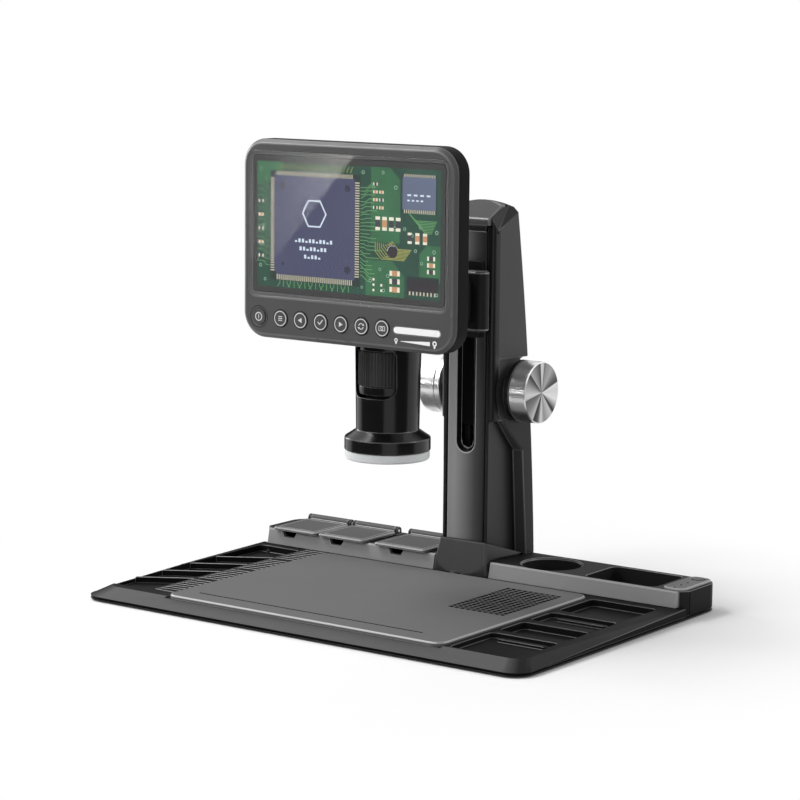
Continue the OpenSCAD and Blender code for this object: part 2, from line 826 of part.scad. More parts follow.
module base_cover() color([0.3, 0.3, 0.31]) {
  difference() {
    union() {
      translate([0, 0, cover_z]) linear_extrude(cover_t - seam_h) base_outline();
      translate([0, 0, cover_z]) linear_extrude(cover_t) base_outline(seam_inset + seam_h);
    }
    for (s = screw_shares)
      translate([s[0] * half_w, s[1] * rear_y, cover_z]) {
        translate([0, 0, -over]) cylinder(r = screw_r + seat, h = cover_t + 2 * over);
        translate([0, 0, -seat])
          cylinder(r1 = screw_head_r + 3 * seat, r2 = screw_r + seat,
              h = screw_head_r - screw_r + seat);
      }
    for (s = feet_shares)
      translate([s[0] * half_w, s[1] * rear_y, cover_z - over])
        cylinder(r = feet_r + seat, h = feet_sink + over);
  }
}

module cover_screws() color([0.5, 0.5, 0.52])
  for (s = screw_shares)
    translate([s[0] * half_w, s[1] * rear_y, cover_z]) cover_screw(screw_r, screw_head_r, screw_l);

module rubber_feet() color([0.12, 0.12, 0.12])
  for (s = feet_shares)
    translate([s[0] * half_w, s[1] * rear_y, 0]) cylinder(r = feet_r, h = feet_h + feet_sink);

// The mat: square holes at its right rear, and a groove along its front
module work_mat() color([0.42, 0.42, 0.43]) {
  field_x1 = mat_x + mat_w / 2 - mat_field_inset;
  field_y1 = mat_rear_y - mat_field_rear;
  difference() {
    bevelled_slab(mat_x - mat_w / 2, mat_x + mat_w / 2, mat_front_y, mat_rear_y, mat_z, mat_top_z,
           mat_r, seat, mat_edge);
    translate([0, 0, mat_z - over]) linear_extrude(mat_t + 2 * over)
      for (i = [0:mat_hole_cols - 1], j = [0:mat_hole_rows - 1])
        translate([field_x1 - (i + 0.5) * mat_hole_pitch, field_y1 - (j + 0.5) * mat_hole_pitch])
          square(mat_hole_w, center = true);
    block(mat_x - mat_w * 0.43, mat_x + mat_w * 0.385, mat_front_y + mat_groove_inset,
       mat_front_y + mat_groove_inset + mat_groove_w, mat_top_z - mat_groove_depth,
         mat_top_z + over);
  }
}

// The slanted ribs across the small parts bin
module bin_ribs() color([0.09, 0.09, 0.1]) {
  length = side_bin_y1 - side_bin_y0;
  rise = rib_rise_share * length;
  for (share = rib_shares) {
    y = side_bin_y0 + share * length;
    translate([0, 0, deep_floor_z + seat]) linear_extrude(tray_z - rib_top_drop - deep_floor_z)
      polygon([[side_bin_x0 + seat, y], [side_bin_x1 - seat, y + rise],
          [side_bin_x1 - seat, y + rise + rib_t], [side_bin_x0 + seat, y + rib_t]]);
  }
}

// The comb strip: groups of slanted slots that hold driver bits and tweezers
module comb_strip() color([0.2, 0.2, 0.21]) {
  group_l = (comb_y1 - comb_y0) / comb_groups;
  pitch = group_l / (comb_teeth + 0.6);
  slot_l = comb_w - 2 * comb_edge;
  difference() {
    block(comb_x0, comb_x0 + comb_w, comb_y0, comb_y1, comb_seat_z, tray_z);
    for (g = [0:comb_groups - 1], t = [0:comb_teeth - 1]) {
      y = comb_y0 + g * group_l + (t + 0.4) * pitch;
      translate([comb_x0 + comb_edge, y, comb_seat_z + seam_h]) linear_extrude(tray_z)
        polygon([[0, 0], [slot_l, comb_slot_slant], [slot_l, comb_slot_slant + comb_slot_w / 2],
            [0, comb_slot_w]]);
    }
  }
}

// The pale strip on the shelf's front, its foot set forward, on both sides of the column
module fascia_strip(x0, x1) {
  along_x(x0, x1)
    polygon([[shelf_y - fascia_lean, tray_z + seat], [shelf_face_y - seat, tray_z + seat],
        [shelf_face_y - seat, shelf_z], [shelf_y + fascia_t / 4, shelf_z],
        [shelf_y, shelf_z - fascia_t / 4]]);
}

module fascia() color([0.52, 0.52, 0.53]) {
  difference() {
    fascia_strip(-fascia_end_x, -foot_half - foot_end_gap);
    for (i = [0:2]) finger_notch(i);
  }
  fascia_strip(foot_half + foot_end_gap, fascia_end_x);
}

// One flip lid with its hinge barrel and the sunk line round its top
module box_lid(i) {
  x0 = lid_x0(i);
  x1 = lid_x1(i);
  plate_y1 = lid_pin_y - lid_barrel_r - gap;
  barrel_x0 = x0 + ear_t + gap;
  barrel_x1 = x1 - ear_t - gap;
  inset = lid_groove_inset;
  difference() {
    union() {
      bevelled_slab(x0, x1, lid_front_y, plate_y1, lid_z, lid_z + lid_t, lid_corner_r, lid_edge / 2,
             lid_edge);
      block(barrel_x0, barrel_x1, plate_y1 - over, lid_pin_y, lid_z, lid_z + lid_t);
      bar_x(barrel_x0, barrel_x1, lid_pin_y, lid_pin_z, lid_barrel_r);
    }
    difference() {
      slab(x0 + inset, x1 - inset, lid_front_y + inset, plate_y1 - inset,
        lid_z + lid_t - lid_groove_depth, lid_z + lid_t + over, lid_corner_r / 2);
      slab(x0 + inset + lid_groove_w, x1 - inset - lid_groove_w, lid_front_y + inset + lid_groove_w,
        plate_y1 - inset - lid_groove_w, lid_z, lid_z + lid_t + over, lid_corner_r / 4);
    }
    bar_x(x0 - over, x1 + over, lid_pin_y, lid_pin_z, lid_pin_r + slip);
  }
}

module box_lid_left() color([0.42, 0.42, 0.43]) box_lid(0);
module box_lid_middle() color([0.42, 0.42, 0.43]) box_lid(1);
module box_lid_right() color([0.42, 0.42, 0.43]) box_lid(2);

module lid_pins() color([0.7, 0.7, 0.72])
  for (i = [0:2]) bar_x(lid_x0(i) + gap, lid_x1(i) - gap, lid_pin_y, lid_pin_z, lid_pin_r);

// The raised control pad at the shelf's right end
module control_pad() color([0.48, 0.48, 0.49]) {
  skirt_x = pad_w / 2 - pad_well_inset - seat;
  difference() {
    union() {
      bevelled_slab(pad_x - pad_w / 2, pad_x + pad_w / 2, pad_y0, pad_y1, pad_z, pad_top_z, pad_r,
             seat, lid_edge);
      difference() {
        slab(pad_x - skirt_x, pad_x + skirt_x, pad_y0 + pad_well_inset + seat,
          pad_y1 - pad_well_inset - seat,
          pad_z - pad_skirt_h, pad_z + seat, pad_r - pad_well_inset);
        slab(pad_x - skirt_x + pad_skirt_wall, pad_x + skirt_x - pad_skirt_wall,
          pad_y0 + pad_well_inset + pad_skirt_wall, pad_y1 - pad_well_inset - pad_skirt_wall,
          pad_z - pad_skirt_h - over, pad_z, pad_r - pad_well_inset - pad_skirt_wall);
      }
    }
    translate([pad_x, pad_button_y, pad_z - pad_skirt_h - over])
      cylinder(r = pad_flange_r + gap, h = pad_skirt_h + over);
    translate([pad_x, pad_button_y, pad_z - over])
      cylinder(r = pad_button_r + gap, h = pad_t + 2 * over);
    for (i = [0:2])
      translate([pad_x, pad_lens_y0 + i * pad_lens_pitch, pad_z - over])
        cylinder(r = pad_lens_r + seat, h = pad_t + 2 * over);
  }
}

// The dished button, its flange under the pad and its stem down to the switch
module pad_button() color([0.3, 0.3, 0.31]) {
  top_z = pad_top_z + pad_button_proud;
  flange_z = pad_z - gap - pad_flange_t;
  stem_z = pad_board_z + pad_board_t + switch_t + pad_button_travel + gap;
  translate([pad_x, pad_button_y, 0]) {
    difference() {
      translate([0, 0, flange_z]) cylinder(r = pad_button_r, h = top_z - flange_z);
      translate([0, 0, top_z + pad_dish_r - pad_dish_depth]) sphere(r = pad_dish_r);
    }
    translate([0, 0, flange_z]) intersection() {
      cylinder(r = pad_flange_r, h = pad_flange_t);
      translate([-pad_flange_r, -pad_flange_half_d, 0])
        cube([2 * pad_flange_r, 2 * pad_flange_half_d, pad_flange_t]);
    }
    translate([0, 0, stem_z]) cylinder(r = pad_button_r / 3, h = flange_z - stem_z + seat);
  }
}

module status_lenses() color([0.1, 0.12, 0.14])
  for (i = [0:2])
    translate([pad_x, pad_lens_y0 + i * pad_lens_pitch, pad_top_z - pad_lens_t + seat])
      cylinder(r = pad_lens_r, h = pad_lens_t);

// The pad's board, with its switch and lamps
module pad_board() color([0.1, 0.35, 0.2]) {
  board_x = pad_w / 2 - pad_well_inset - gap;
  post_l = pad_board_z - pad_well_z;
  slab(pad_x - board_x, pad_x + board_x, pad_y0 + pad_well_inset + gap, pad_y1 - pad_well_inset - gap,
    pad_board_z, pad_board_z + pad_board_t, pad_r - pad_well_inset - gap);
  translate([pad_x - switch_w / 2, pad_button_y - switch_w / 2, pad_board_z + pad_board_t])
    cube([switch_w, switch_w, switch_t]);
  for (i = [0:2])
    translate([pad_x, pad_lens_y0 + i * pad_lens_pitch, pad_board_z + pad_board_t])
      cylinder(r = pad_lens_r / 2, h = switch_t);
  for (y = [pad_y0 + 2 * pad_well_inset + over, pad_y1 - 2 * pad_well_inset - 7 * over])
    translate([pad_x, y, pad_well_z + seat]) cylinder(r = 2 * over, h = post_l - seat);
}

// The power socket, open to the back
module power_inlet() color([0.62, 0.62, 0.64])
  difference() {
    along_y(rear_y - inlet_d, rear_y - seat)
      translate([pad_x, inlet_z + inlet_h / 2 + seat]) round_rect(inlet_w, inlet_h, inlet_lip_r);
    along_y(rear_y - inlet_slot_d, rear_y + over)
      translate([pad_x, inlet_z + inlet_h / 2 + seat])
        round_rect(inlet_slot_w, inlet_slot_h, inlet_lip_r - (inlet_h - inlet_slot_h) / 2);
  }

// The moulded foot round the column's lower end: a convex front and falling sides
module column_foot() color([0.1, 0.1, 0.11]) {
  difference() {
    intersection() {
      along_x(-flank_w, flank_w)
        polygon([[foot_front_y, tray_z + seat], [foot_lip_y, tray_z + foot_h],
            [foot_back_y, column_z + over], [foot_back_y, column_z],
            [shelf_face_y - seat, column_z],
            [shelf_face_y - seat, tray_z + seat]]);
      translate([0, foot_front_y + foot_bulge_r, tray_z - over])
        cylinder(r = foot_bulge_r, h = 2 * foot_h, $fn = 180);
    }
    block(-cap_half - gap, cap_half + gap, post_y - gap, rear_y, column_z - over,
       tray_z + foot_h + over);
    // Its sides lean in to the top and flare out to the back
    for (s = [0, 1]) mirror([s, 0, 0])
      translate([foot_half, foot_front_y, tray_z]) rotate([0, -foot_rake, -foot_flare])
        translate([0, -flank_w, -flank_w]) cube([post_w, shelf_d + post_w, 2 * post_w]);
  }
}

// The front post: a channel open at the back, with a bevelled slot
module column_post() color([0.07, 0.07, 0.08])
  difference() {
    union() {
      slab(-post_half, post_half, post_y, post_y + 2 * post_corner_r + over, column_z, post_top_z,
        post_corner_r);
      block(-post_half, post_half, post_y + post_corner_r, post_back_y, column_z, post_top_z);
    }
    block(-post_in, post_in, post_y + post_wall, post_back_y + over, column_z + post_floor_t,
       post_top_z + over);
    // A fine groove along each side, behind the face
    for (s = [0, 1]) mirror([s, 0, 0])
      block(post_half - side_groove_d, post_half + over, post_y + post_corner_r,
         post_y + post_corner_r + side_groove_w, column_z - over, post_top_z + over);
    hull() {
      along_y(post_y - over, post_y) upright_slot(slot_rim_w, slot_z, slot_top_z, $fn = 32);
      along_y(post_y, post_y + post_wall - seat)
        upright_slot(slot_w, slot_z + rim_bevel, slot_top_z - rim_bevel, $fn = 32);
    }
    along_y(post_y - over, post_y + post_wall + over)
      upright_slot(slot_w, slot_z + rim_bevel, slot_top_z - rim_bevel);
    for (x = [-column_screw_x, column_screw_x])
      translate([x, column_screw_y0, column_z - over])
        cylinder(r = column_screw_r + seat, h = post_floor_t + 2 * over);
  }

// The line of the column's back at a height: it leans forward and bows
function back_y(z) =
  let (t = (z - shelf_z) / column_h)
  back_foot_y - back_lean * t + 4 * back_bow * t * (1 - t);

// The column's side outline, its back set forward by a wall
function side_outline(wall = 0) = concat(
  [[flank_y, column_z], [flank_y, post_top_z + cap_face_h - cap_nose_r],
  [flank_y + cap_nose_r * 0.3, post_top_z + cap_face_h - cap_nose_r * 0.3],
  [flank_y + cap_nose_r, post_top_z + cap_face_h]],
  [for (a = [120:-15:0])
    [back_y(column_top_z - crest_r) - crest_r + crest_r * cos(a) - wall,
    column_top_z - crest_r + crest_r * sin(a)]],
  [for (i = [1:12])
    let (z = column_top_z - crest_r - i / 12 * (column_top_z - crest_r - column_z))
    [back_y(z) - wall, z]]);

// The column's plan: the cap's nose, a rounded strip and flaring flanks
module plan_outline() {
  strip_w = flank_edge_x - cap_half;
  strip_d = flank_edge_y - strip_y;
  right = [[cap_half, flank_y], [cap_half, strip_y], [cap_half + 0.5 * strip_w, strip_y + 0.14 * strip_d],
      [cap_half + 0.85 * strip_w, strip_y + 0.45 * strip_d], [flank_edge_x, flank_edge_y],
      [flank_edge_x + flank_flare * (back_foot_y - flank_edge_y), back_foot_y]];
  polygon(concat(right, [for (i = [len(right) - 1:-1:0]) [-right[i][0], right[i][1]]]));
}

// The cut that bevels one flank's top edge, between the cap and the flank
module cheek_cut() {
  top_in = [cap_half + seat, flank_y + over, post_top_z + cap_face_h];
  rear_in = [cap_half + seat, back_y(column_top_z) + over, column_top_z];
  front_out = [flank_edge_x, flank_edge_y - 2 * over, post_top_z];
  rear_out = [flank_edge_x + 3 * over, back_y(column_top_z) + 2 * over, column_top_z - 7 * over];
  up = [0, 0, cap_h];
  out = [flank_w, 0, 0];
  front = [0, -10 * over, -8 * over];
  hull()
    for (p = [top_in, rear_in, front_out, rear_out, top_in + up, rear_in + up, front_out + out,
         rear_out + out, top_in + up + out, rear_in + up + out, front_out + front + out])
      translate(p) cube(seat);
}

module column_form() {
  difference() {
    intersection() {
      translate([0, 0, shelf_z]) linear_extrude(column_h) plan_outline();
      along_x(-flank_w - over, flank_w + over) polygon(side_outline());
      // The crown of its top
      along_y(flank_y - over, rear_y) {
        translate([0, column_top_z - crown_r]) circle(crown_r, $fn = 180);
        translate([-flank_w, shelf_z]) square([2 * flank_w, column_h - cap_h]);
      }
    }
    cheek_cut();
    mirror([1, 0, 0]) cheek_cut();
  }
}

// The rear housing: cheeks beside the post, a seat for the knobs and a flange down to the shelf
module column_housing() color([0.1, 0.1, 0.11]) {
  seat_y = flank_edge_y + over;
  slant_y0 = flank_edge_y + 4 * over;
  slant_y1 = slant_y0 + cheek_slant_d;
  difference() {
    column_form();
    // Room for the post and for the cap
    block(-post_half - gap, post_half + gap, flank_y - over, post_back_y + gap, shelf_z - over,
       column_top_z + over);
    block(-cap_half - gap, cap_half + gap, flank_y - over, post_back_y + gap,
       post_top_z + cap_recess_h - gap, column_top_z + over);
    block(-cap_half - gap, cap_half + gap, flank_y - over, strip_y, shelf_z - over, column_top_z);
    // Room for the slide's flanges behind the post, and for the rack and pinion
    along_x(-web_x, lock_web_x)
      intersection() {
        polygon(side_outline(housing_wall));
        translate([post_back_y, column_z + post_floor_t])
          square([shelf_d, post_top_z - column_z - 2 * post_floor_t]);
      }
    along_x(-cavity_x, cavity_x)
      intersection() {
        polygon(side_outline(housing_wall));
        translate([post_back_y + gap + web_t, column_z + post_floor_t])
          square([shelf_d, post_top_z - column_z - 2 * post_floor_t]);
      }
    for (s = [0, 1]) mirror([s, 0, 0]) {
      // Below the slant only the plain rear box stands, with its flange at the back
      along_x(cap_half, flank_w + over)
        polygon([[flank_y - over, shelf_z - over], [flank_y - over, cheek_z], [slant_y0, cheek_z],
            [slant_y1, cheek_z - cheek_slant_h], [flange_foot_y, shelf_z - over]]);
      // Seat of the knob's collar, under a level ledge
      along_x(knob_seat_x, flank_w + over)
        polygon([[seat_y, seat_top_z], [rear_y, seat_top_z], [rear_y, seat_top_z - knob_seat_h],
            [slant_y0, seat_top_z - knob_seat_h],
              [seat_y, seat_top_z - knob_seat_h + 4 * over]]);
      bar_x(0, flank_w + over, shaft_y, shaft_z, bush_r + seat);
      bar_x(knob_seat_x, flank_w + over, shaft_y, shaft_z, knob_r + gap);
    }
    bar_y(post_back_y, rear_y + over, lock_x, lock_z, lock_screw_r + slip);
    for (x = [-column_screw_x, column_screw_x])
      translate([x, column_screw_y1, shelf_z - over])
        cylinder(r = column_screw_r + seat, h = post_floor_t + 2 * over);
  }
  // Boss of the lock screw
  difference() {
    bar_y(back_y(lock_z) - housing_wall / 2, lock_head_y - gap, lock_x, lock_z, lock_boss_r);
    bar_y(post_back_y, rear_y + over, lock_x, lock_z, lock_screw_r + slip);
  }
}

// The cap that closes the channel above the post
module column_cap() color([0.13, 0.13, 0.14]) {
  plug_half = post_in - seat;
  plug_y = post_y + post_wall + seat;
  intersection() {
    column_form();
    block(-cap_half, cap_half, flank_y - over, post_back_y, post_top_z + cap_recess_h,
       column_top_z + over);
  }
  block(-plug_half, plug_half, plug_y, post_back_y - seat, post_top_z - cap_plug_h,
     post_top_z + cap_recess_h + seat);
}

module column_screws() color([0.5, 0.5, 0.52])
  at_column_screws() translate([0, 0, column_screw_z]) {
    translate([0, 0, -column_screw_head_t])
      cylinder(r = column_screw_head_r, h = column_screw_head_t - seat);
    translate([0, 0, -seat]) cylinder(r = column_screw_r, h = column_screw_l);
  }

// The bushes that carry the focus shaft in the housing's walls
module shaft_bushes() color([0.72, 0.58, 0.3])
  for (s = [0, 1]) mirror([s, 0, 0])
    difference() {
      bar_x(cavity_x, collar_x, shaft_y, shaft_z, bush_r);
      bar_x(cavity_x - over, collar_x + over, shaft_y, shaft_z, shaft_r + slip);
    }

module knob_collars() color([0.08, 0.08, 0.09])
  for (s = [0, 1]) mirror([s, 0, 0])
    difference() {
      union() {
        bar_x(knob_seat_x + seat, collar_x, shaft_y, shaft_z, collar_hub_r);
        bar_x(collar_x, collar_x + collar_t, shaft_y, shaft_z, knob_r);
      }
      bar_x(knob_seat_x, collar_x, shaft_y, shaft_z, bush_r + seat);
      bar_x(knob_seat_x, collar_x + collar_t + over, shaft_y, shaft_z, shaft_r + gap);
    }

module focus_shaft() color([0.75, 0.75, 0.77])
  bar_x(-shaft_half_l, shaft_half_l, shaft_y, shaft_z, shaft_r);

// An involute tooth profile: the angle between its flank and its middle at a radius
function involute(r) =
  let (a = acos(min(1, base_circle_r / r)))
  tan(a) * 180 / PI - a;
function flank_angle(r) = half_tooth_angle + involute(pitch_r) - involute(max(r, base_circle_r));
function flank_r(i) = root_r + (tip_r - root_r) * i / flank_steps;

module pinion_outline() {
  polygon([for (t = [0:pinion_teeth - 1])
    let (middle = (t + 0.5) * 360 / pinion_teeth)
    for (p = concat([for (i = [0:flank_steps]) [flank_r(i), middle - flank_angle(flank_r(i))]],
            [for (i = [flank_steps:-1:0]) [flank_r(i), middle + flank_angle(flank_r(i))]]))
      [p[0] * cos(p[1]), p[0] * sin(p[1])]]);
}

// The pinion on the shaft, with a tooth gap facing the rack at rest
module pinion() color([0.72, 0.58, 0.3])
  difference() {
    along_x(rack_x - pinion_w / 2, rack_x + pinion_w / 2)
      translate([shaft_y, shaft_z]) rotate(180) pinion_outline();
    bar_x(rack_x - pinion_w, rack_x + pinion_w, shaft_y, shaft_z, shaft_r + seat);
  }

// The rack: straight-sided teeth, one of them level with the shaft at rest
module rack() color([0.72, 0.58, 0.3]) {
  pitch = PI * gear_module;
  half = pitch / 4 - backlash / 4;
  tip_half = half - rack_addendum * tan(pressure_angle);
  root_half = half + 1.25 * gear_module * tan(pressure_angle);
  below = floor((rack_below - pitch / 2) / pitch);
  above = floor((rack_l - rack_below - pitch / 2) / pitch);
  tip_y = rack_pitch_y + rack_addendum;
  root_y = rack_pitch_y - 1.25 * gear_module;
  along_x(rack_x - rack_w / 2, rack_x + rack_w / 2)
    polygon(concat([[rack_back_y, rack_z0], [root_y, rack_z0]],
      [for (i = [-below:above]) let (z = shaft_z + i * pitch)
        for (p = [[root_y, z - root_half], [tip_y, z - tip_half], [tip_y, z + tip_half],
             [root_y, z + root_half]])
          p],
      [[root_y, rack_z0 + rack_l], [rack_back_y, rack_z0 + rack_l]]));
}

// A spun knob: a shallow cone face, a bevelled rim and a blind hole for the shaft
module knob() {
  difference() {
    translate([knob_x, shaft_y, shaft_z]) rotate([0, 90, 0]) rotate_extrude($fn = 128)
      polygon([[0, 0], [knob_r - knob_edge, 0], [knob_r, knob_edge], [knob_r, knob_t - knob_edge],
          [knob_r - knob_edge, knob_t], [knob_r / 2, knob_t - knob_edge / 4],
            [0, knob_t - knob_edge / 2]]);
    bar_x(knob_x - over, shaft_half_l + seat, shaft_y, shaft_z, shaft_r + seat);
  }
}

module knob_right() color([0.78, 0.78, 0.8]) knob();
module knob_left() color([0.78, 0.78, 0.8]) mirror([1, 0, 0]) knob();

// The rear lock: a lobed knob on a screw that presses the brake pad on the slide
module lock_knob() color([0.08, 0.08, 0.09]) {
  difference() {
    bar_y(lock_head_y, lock_end_y, lock_x, lock_z, lock_r);
    for (i = [0:lock_lobes - 1])
      translate([lock_x, 0, lock_z]) rotate([0, i * 360 / lock_lobes, 0])
        bar_y(lock_head_y - over, lock_end_y + over, lock_r + lock_lobe_r / 2, 0, lock_lobe_r,
           $fn = 24);
  }
  bar_y(slide_flange_y + gap + brake_t + seat, lock_head_y, lock_x, lock_z, lock_screw_r);
}

module brake_pad() color([0.85, 0.85, 0.8])
  bar_y(slide_flange_y + gap, slide_flange_y + gap + brake_t, lock_x, lock_z, brake_r);

// The slide in the post, with a neck out through the slot
module carriage_slide() color([0.6, 0.6, 0.62]) {
  slide_top_z = rack_z0 + rack_l;
  block(-slide_half, slide_half, slide_front_y, slide_back_y, rack_z0, slide_top_z);
  block(-slide_half, -web_x - gap, slide_back_y - over, slide_flange_y, rack_z0, slide_top_z);
  block(lock_web_x + gap, slide_half, slide_back_y - over, slide_flange_y, rack_z0, slide_top_z);
  block(-neck_half, neck_half, block_back_y, slide_front_y + over, neck_z0, neck_z1);
}

// The black wiper that rides on the post's face and keeps the slot covered
module slot_wiper() color([0.03, 0.03, 0.03])
  difference() {
    along_y(block_back_y + seat, wiper_y)
      translate([0, block_z + (block_h + wiper_above - wiper_below) / 2])
        round_rect(2 * wiper_half, block_h + wiper_above + wiper_below, 2 * over);
    block(-neck_half - seat, neck_half + seat, block_back_y - over, post_y + over, neck_z0 - seat,
       neck_z1 + seat);
  }

// The block in front of the post
module carriage_block() color([0.1, 0.1, 0.11])
  intersection() {
    bevelled_slab(-block_half, block_half, block_front_y, block_back_y + 2 * block_r,
           block_z, block_z + block_h, block_r, block_edge, block_edge);
    block(-block_half, block_half, block_front_y, block_back_y, block_z, block_z + block_h);
  }

module head_arm() color([0.1, 0.1, 0.11])
  along_y(core_back_y, block_front_y - seat) translate([0, arm_z]) round_rect(arm_w, arm_h, arm_r);

// The core that joins the screen, the barrel and the arm
module head_core() color([0.1, 0.1, 0.11])
  difference() {
    bevelled_slab(-core_w / 2, core_w / 2, cover_back_y + seat, core_back_y - seat, block_z,
           block_z + core_h,
           core_r, block_edge, 2 * block_edge);
    translate([0, barrel_y, block_z - over]) cylinder(r = barrel_r + seat, h = barrel_socket + over);
    translate([0, barrel_y, block_z]) cylinder(r = sensor_r + seat, h = core_h - 6 * over);
  }

module screen_bezel() color([0.28, 0.28, 0.29])
  difference() {
    translate([0, bezel_back_y, screen_z]) rotate([90, 0, 0])
      bevelled(screen_w, screen_h, bezel_t, screen_r, seat, bezel_edge);
    // Seat of the glass, window of the panel, and the hollow behind
    along_y(screen_y - over, screen_y - glass_proud + glass_t + seat) translate([0, glass_z])
      round_rect(glass_w + 2 * glass_clear, glass_h + 2 * glass_clear, glass_r + glass_clear);
    along_y(screen_y, bezel_back_y + over) translate([0, glass_z])
      round_rect(glass_w - 2 * lcd_inset + 2 * glass_clear,
           glass_h - 2 * lcd_inset + 2 * glass_clear, glass_r / 2);
    along_y(screen_y + bezel_front_t, bezel_back_y + over) translate([0, screen_z])
      round_rect(screen_w - 2 * bezel_wall, screen_h - 2 * bezel_wall, screen_r - bezel_wall);
    for (x = button_xs) bar_y(screen_y - over, screen_y + bezel_front_t + over, x, button_z,
                 button_r + button_clear);
    along_y(screen_y - over, screen_y + bezel_front_t + over) translate([strip_x, strip_z])
      round_rect(strip_w + 2 * seat, strip_h + 2 * seat, strip_h / 2 - seat);
  }

module screen_glass() color([0.2, 0.22, 0.24])
  along_y(screen_y - glass_proud, screen_y - glass_proud + glass_t) translate([0, glass_z])
    round_rect(glass_w, glass_h, glass_r);

module lcd_panel() color([0.15, 0.4, 0.3])
  along_y(screen_y - glass_proud + glass_t + seat, screen_y - glass_proud + glass_t + seat + lcd_t)
    translate([0, glass_z])
      round_rect(glass_w - 2 * lcd_inset, glass_h - 2 * lcd_inset, glass_r / 2 - glass_clear);

// The rear cover: a shallow dish with bosses for the boards
module rear_cover() color([0.1, 0.1, 0.11]) {
  inner_y = cover_back_y - cover_wall;
  difference() {
    translate([0, bezel_back_y + seat, screen_z]) rotate([-90, 0, 0])
      taper(screen_w, screen_h, screen_r, cover_inset, rear_cover_t - seat);
    along_y(bezel_back_y - over, inner_y) translate([0, screen_z])
      round_rect(screen_w - 2 * cover_inset - 2 * cover_wall,
           screen_h - 2 * cover_inset - 2 * cover_wall,
           screen_r - cover_inset);
    for (s = rear_screw_shares) {
      bar_y(inner_y - over, cover_back_y + over, s[0] * screen_w, screen_z + s[1] * screen_h,
         rear_screw_r + seat);
      bar_y(cover_back_y - rear_screw_head_t, cover_back_y + over, s[0] * screen_w,
         screen_z + s[1] * screen_h,
         rear_screw_head_r + seat);
    }
  }
  for (s = post_shares)
    bar_y(main_board_y + board_t, inner_y + seat, s[0] * main_board_w, glass_z + s[1] * main_board_h,
       boss_r);
  for (x = [button_xs[0] - button_pitch / 2 + over, button_xs[5] + button_pitch / 2])
    bar_y(button_board_y + board_t, inner_y + seat, x, button_z, boss_r / 2);
}

module rear_screws() color([0.5, 0.5, 0.52])
  for (s = rear_screw_shares) {
    bar_y(cover_back_y - rear_screw_l, cover_back_y - rear_screw_head_t, s[0] * screen_w,
       screen_z + s[1] * screen_h,
       rear_screw_r);
    bar_y(cover_back_y - rear_screw_head_t, cover_back_y - seat, s[0] * screen_w,
       screen_z + s[1] * screen_h,
       rear_screw_head_r);
  }

module main_board() color([0.08, 0.3, 0.18]) {
  along_y(main_board_y, main_board_y + board_t - seat) translate([0, glass_z])
    square([main_board_w, main_board_h], center = true);
  for (c = chip_shares)
    along_y(main_board_y - chip_t, main_board_y)
      translate([c[0] * main_board_w, glass_z + c[1] * main_board_h])
        square([c[2] * main_board_w, c[3] * main_board_h], center = true);
}

// The board behind the buttons, with one switch under each
module button_board() color([0.08, 0.3, 0.18]) {
  x0 = button_xs[0] - button_pitch / 2;
  x1 = button_xs[6] + button_pitch / 2;
  along_y(button_board_y, button_board_y + board_t - seat)
    translate([(x0 + x1) / 2, button_z]) square([x1 - x0, button_board_h], center = true);
  for (x = button_xs)
    along_y(button_board_y - switch_t, button_board_y) translate([x, button_z])
      square(switch_w, center = true);
}

module touch_strip() color([0.95, 0.95, 0.95])
  along_y(screen_y - strip_proud, screen_y - strip_proud + strip_t) translate([strip_x, strip_z])
    round_rect(strip_w, strip_h, strip_h / 2 - seat);

// One round button: its face, the flange behind the frame and the stem to its switch
module face_button(x) {
  flange_y = screen_y + bezel_front_t + gap;
  stem_y = button_board_y - switch_t - button_travel - gap / 2;
  bar_y(screen_y - button_skin, flange_y + seat, x, button_z, button_r);
  bar_y(flange_y, min(flange_y + button_flange_t, stem_y), x, button_z, button_flange_r);
  bar_y(flange_y, stem_y, x, button_z, button_r / 3);
}

module button_power() color([0.16, 0.16, 0.17]) face_button(button_xs[0]);
module button_menu() color([0.16, 0.16, 0.17]) face_button(button_xs[1]);
module button_left() color([0.16, 0.16, 0.17]) face_button(button_xs[2]);
module button_ok() color([0.16, 0.16, 0.17]) face_button(button_xs[3]);
module button_right() color([0.16, 0.16, 0.17]) face_button(button_xs[4]);
module button_rotate() color([0.16, 0.16, 0.17]) face_button(button_xs[5]);
module button_camera() color([0.16, 0.16, 0.17]) face_button(button_xs[6]);

// A turned part on the lens axis
module turned(points, faces = 96) {
  translate([0, barrel_y, 0]) rotate_extrude($fn = faces) polygon(points);
}

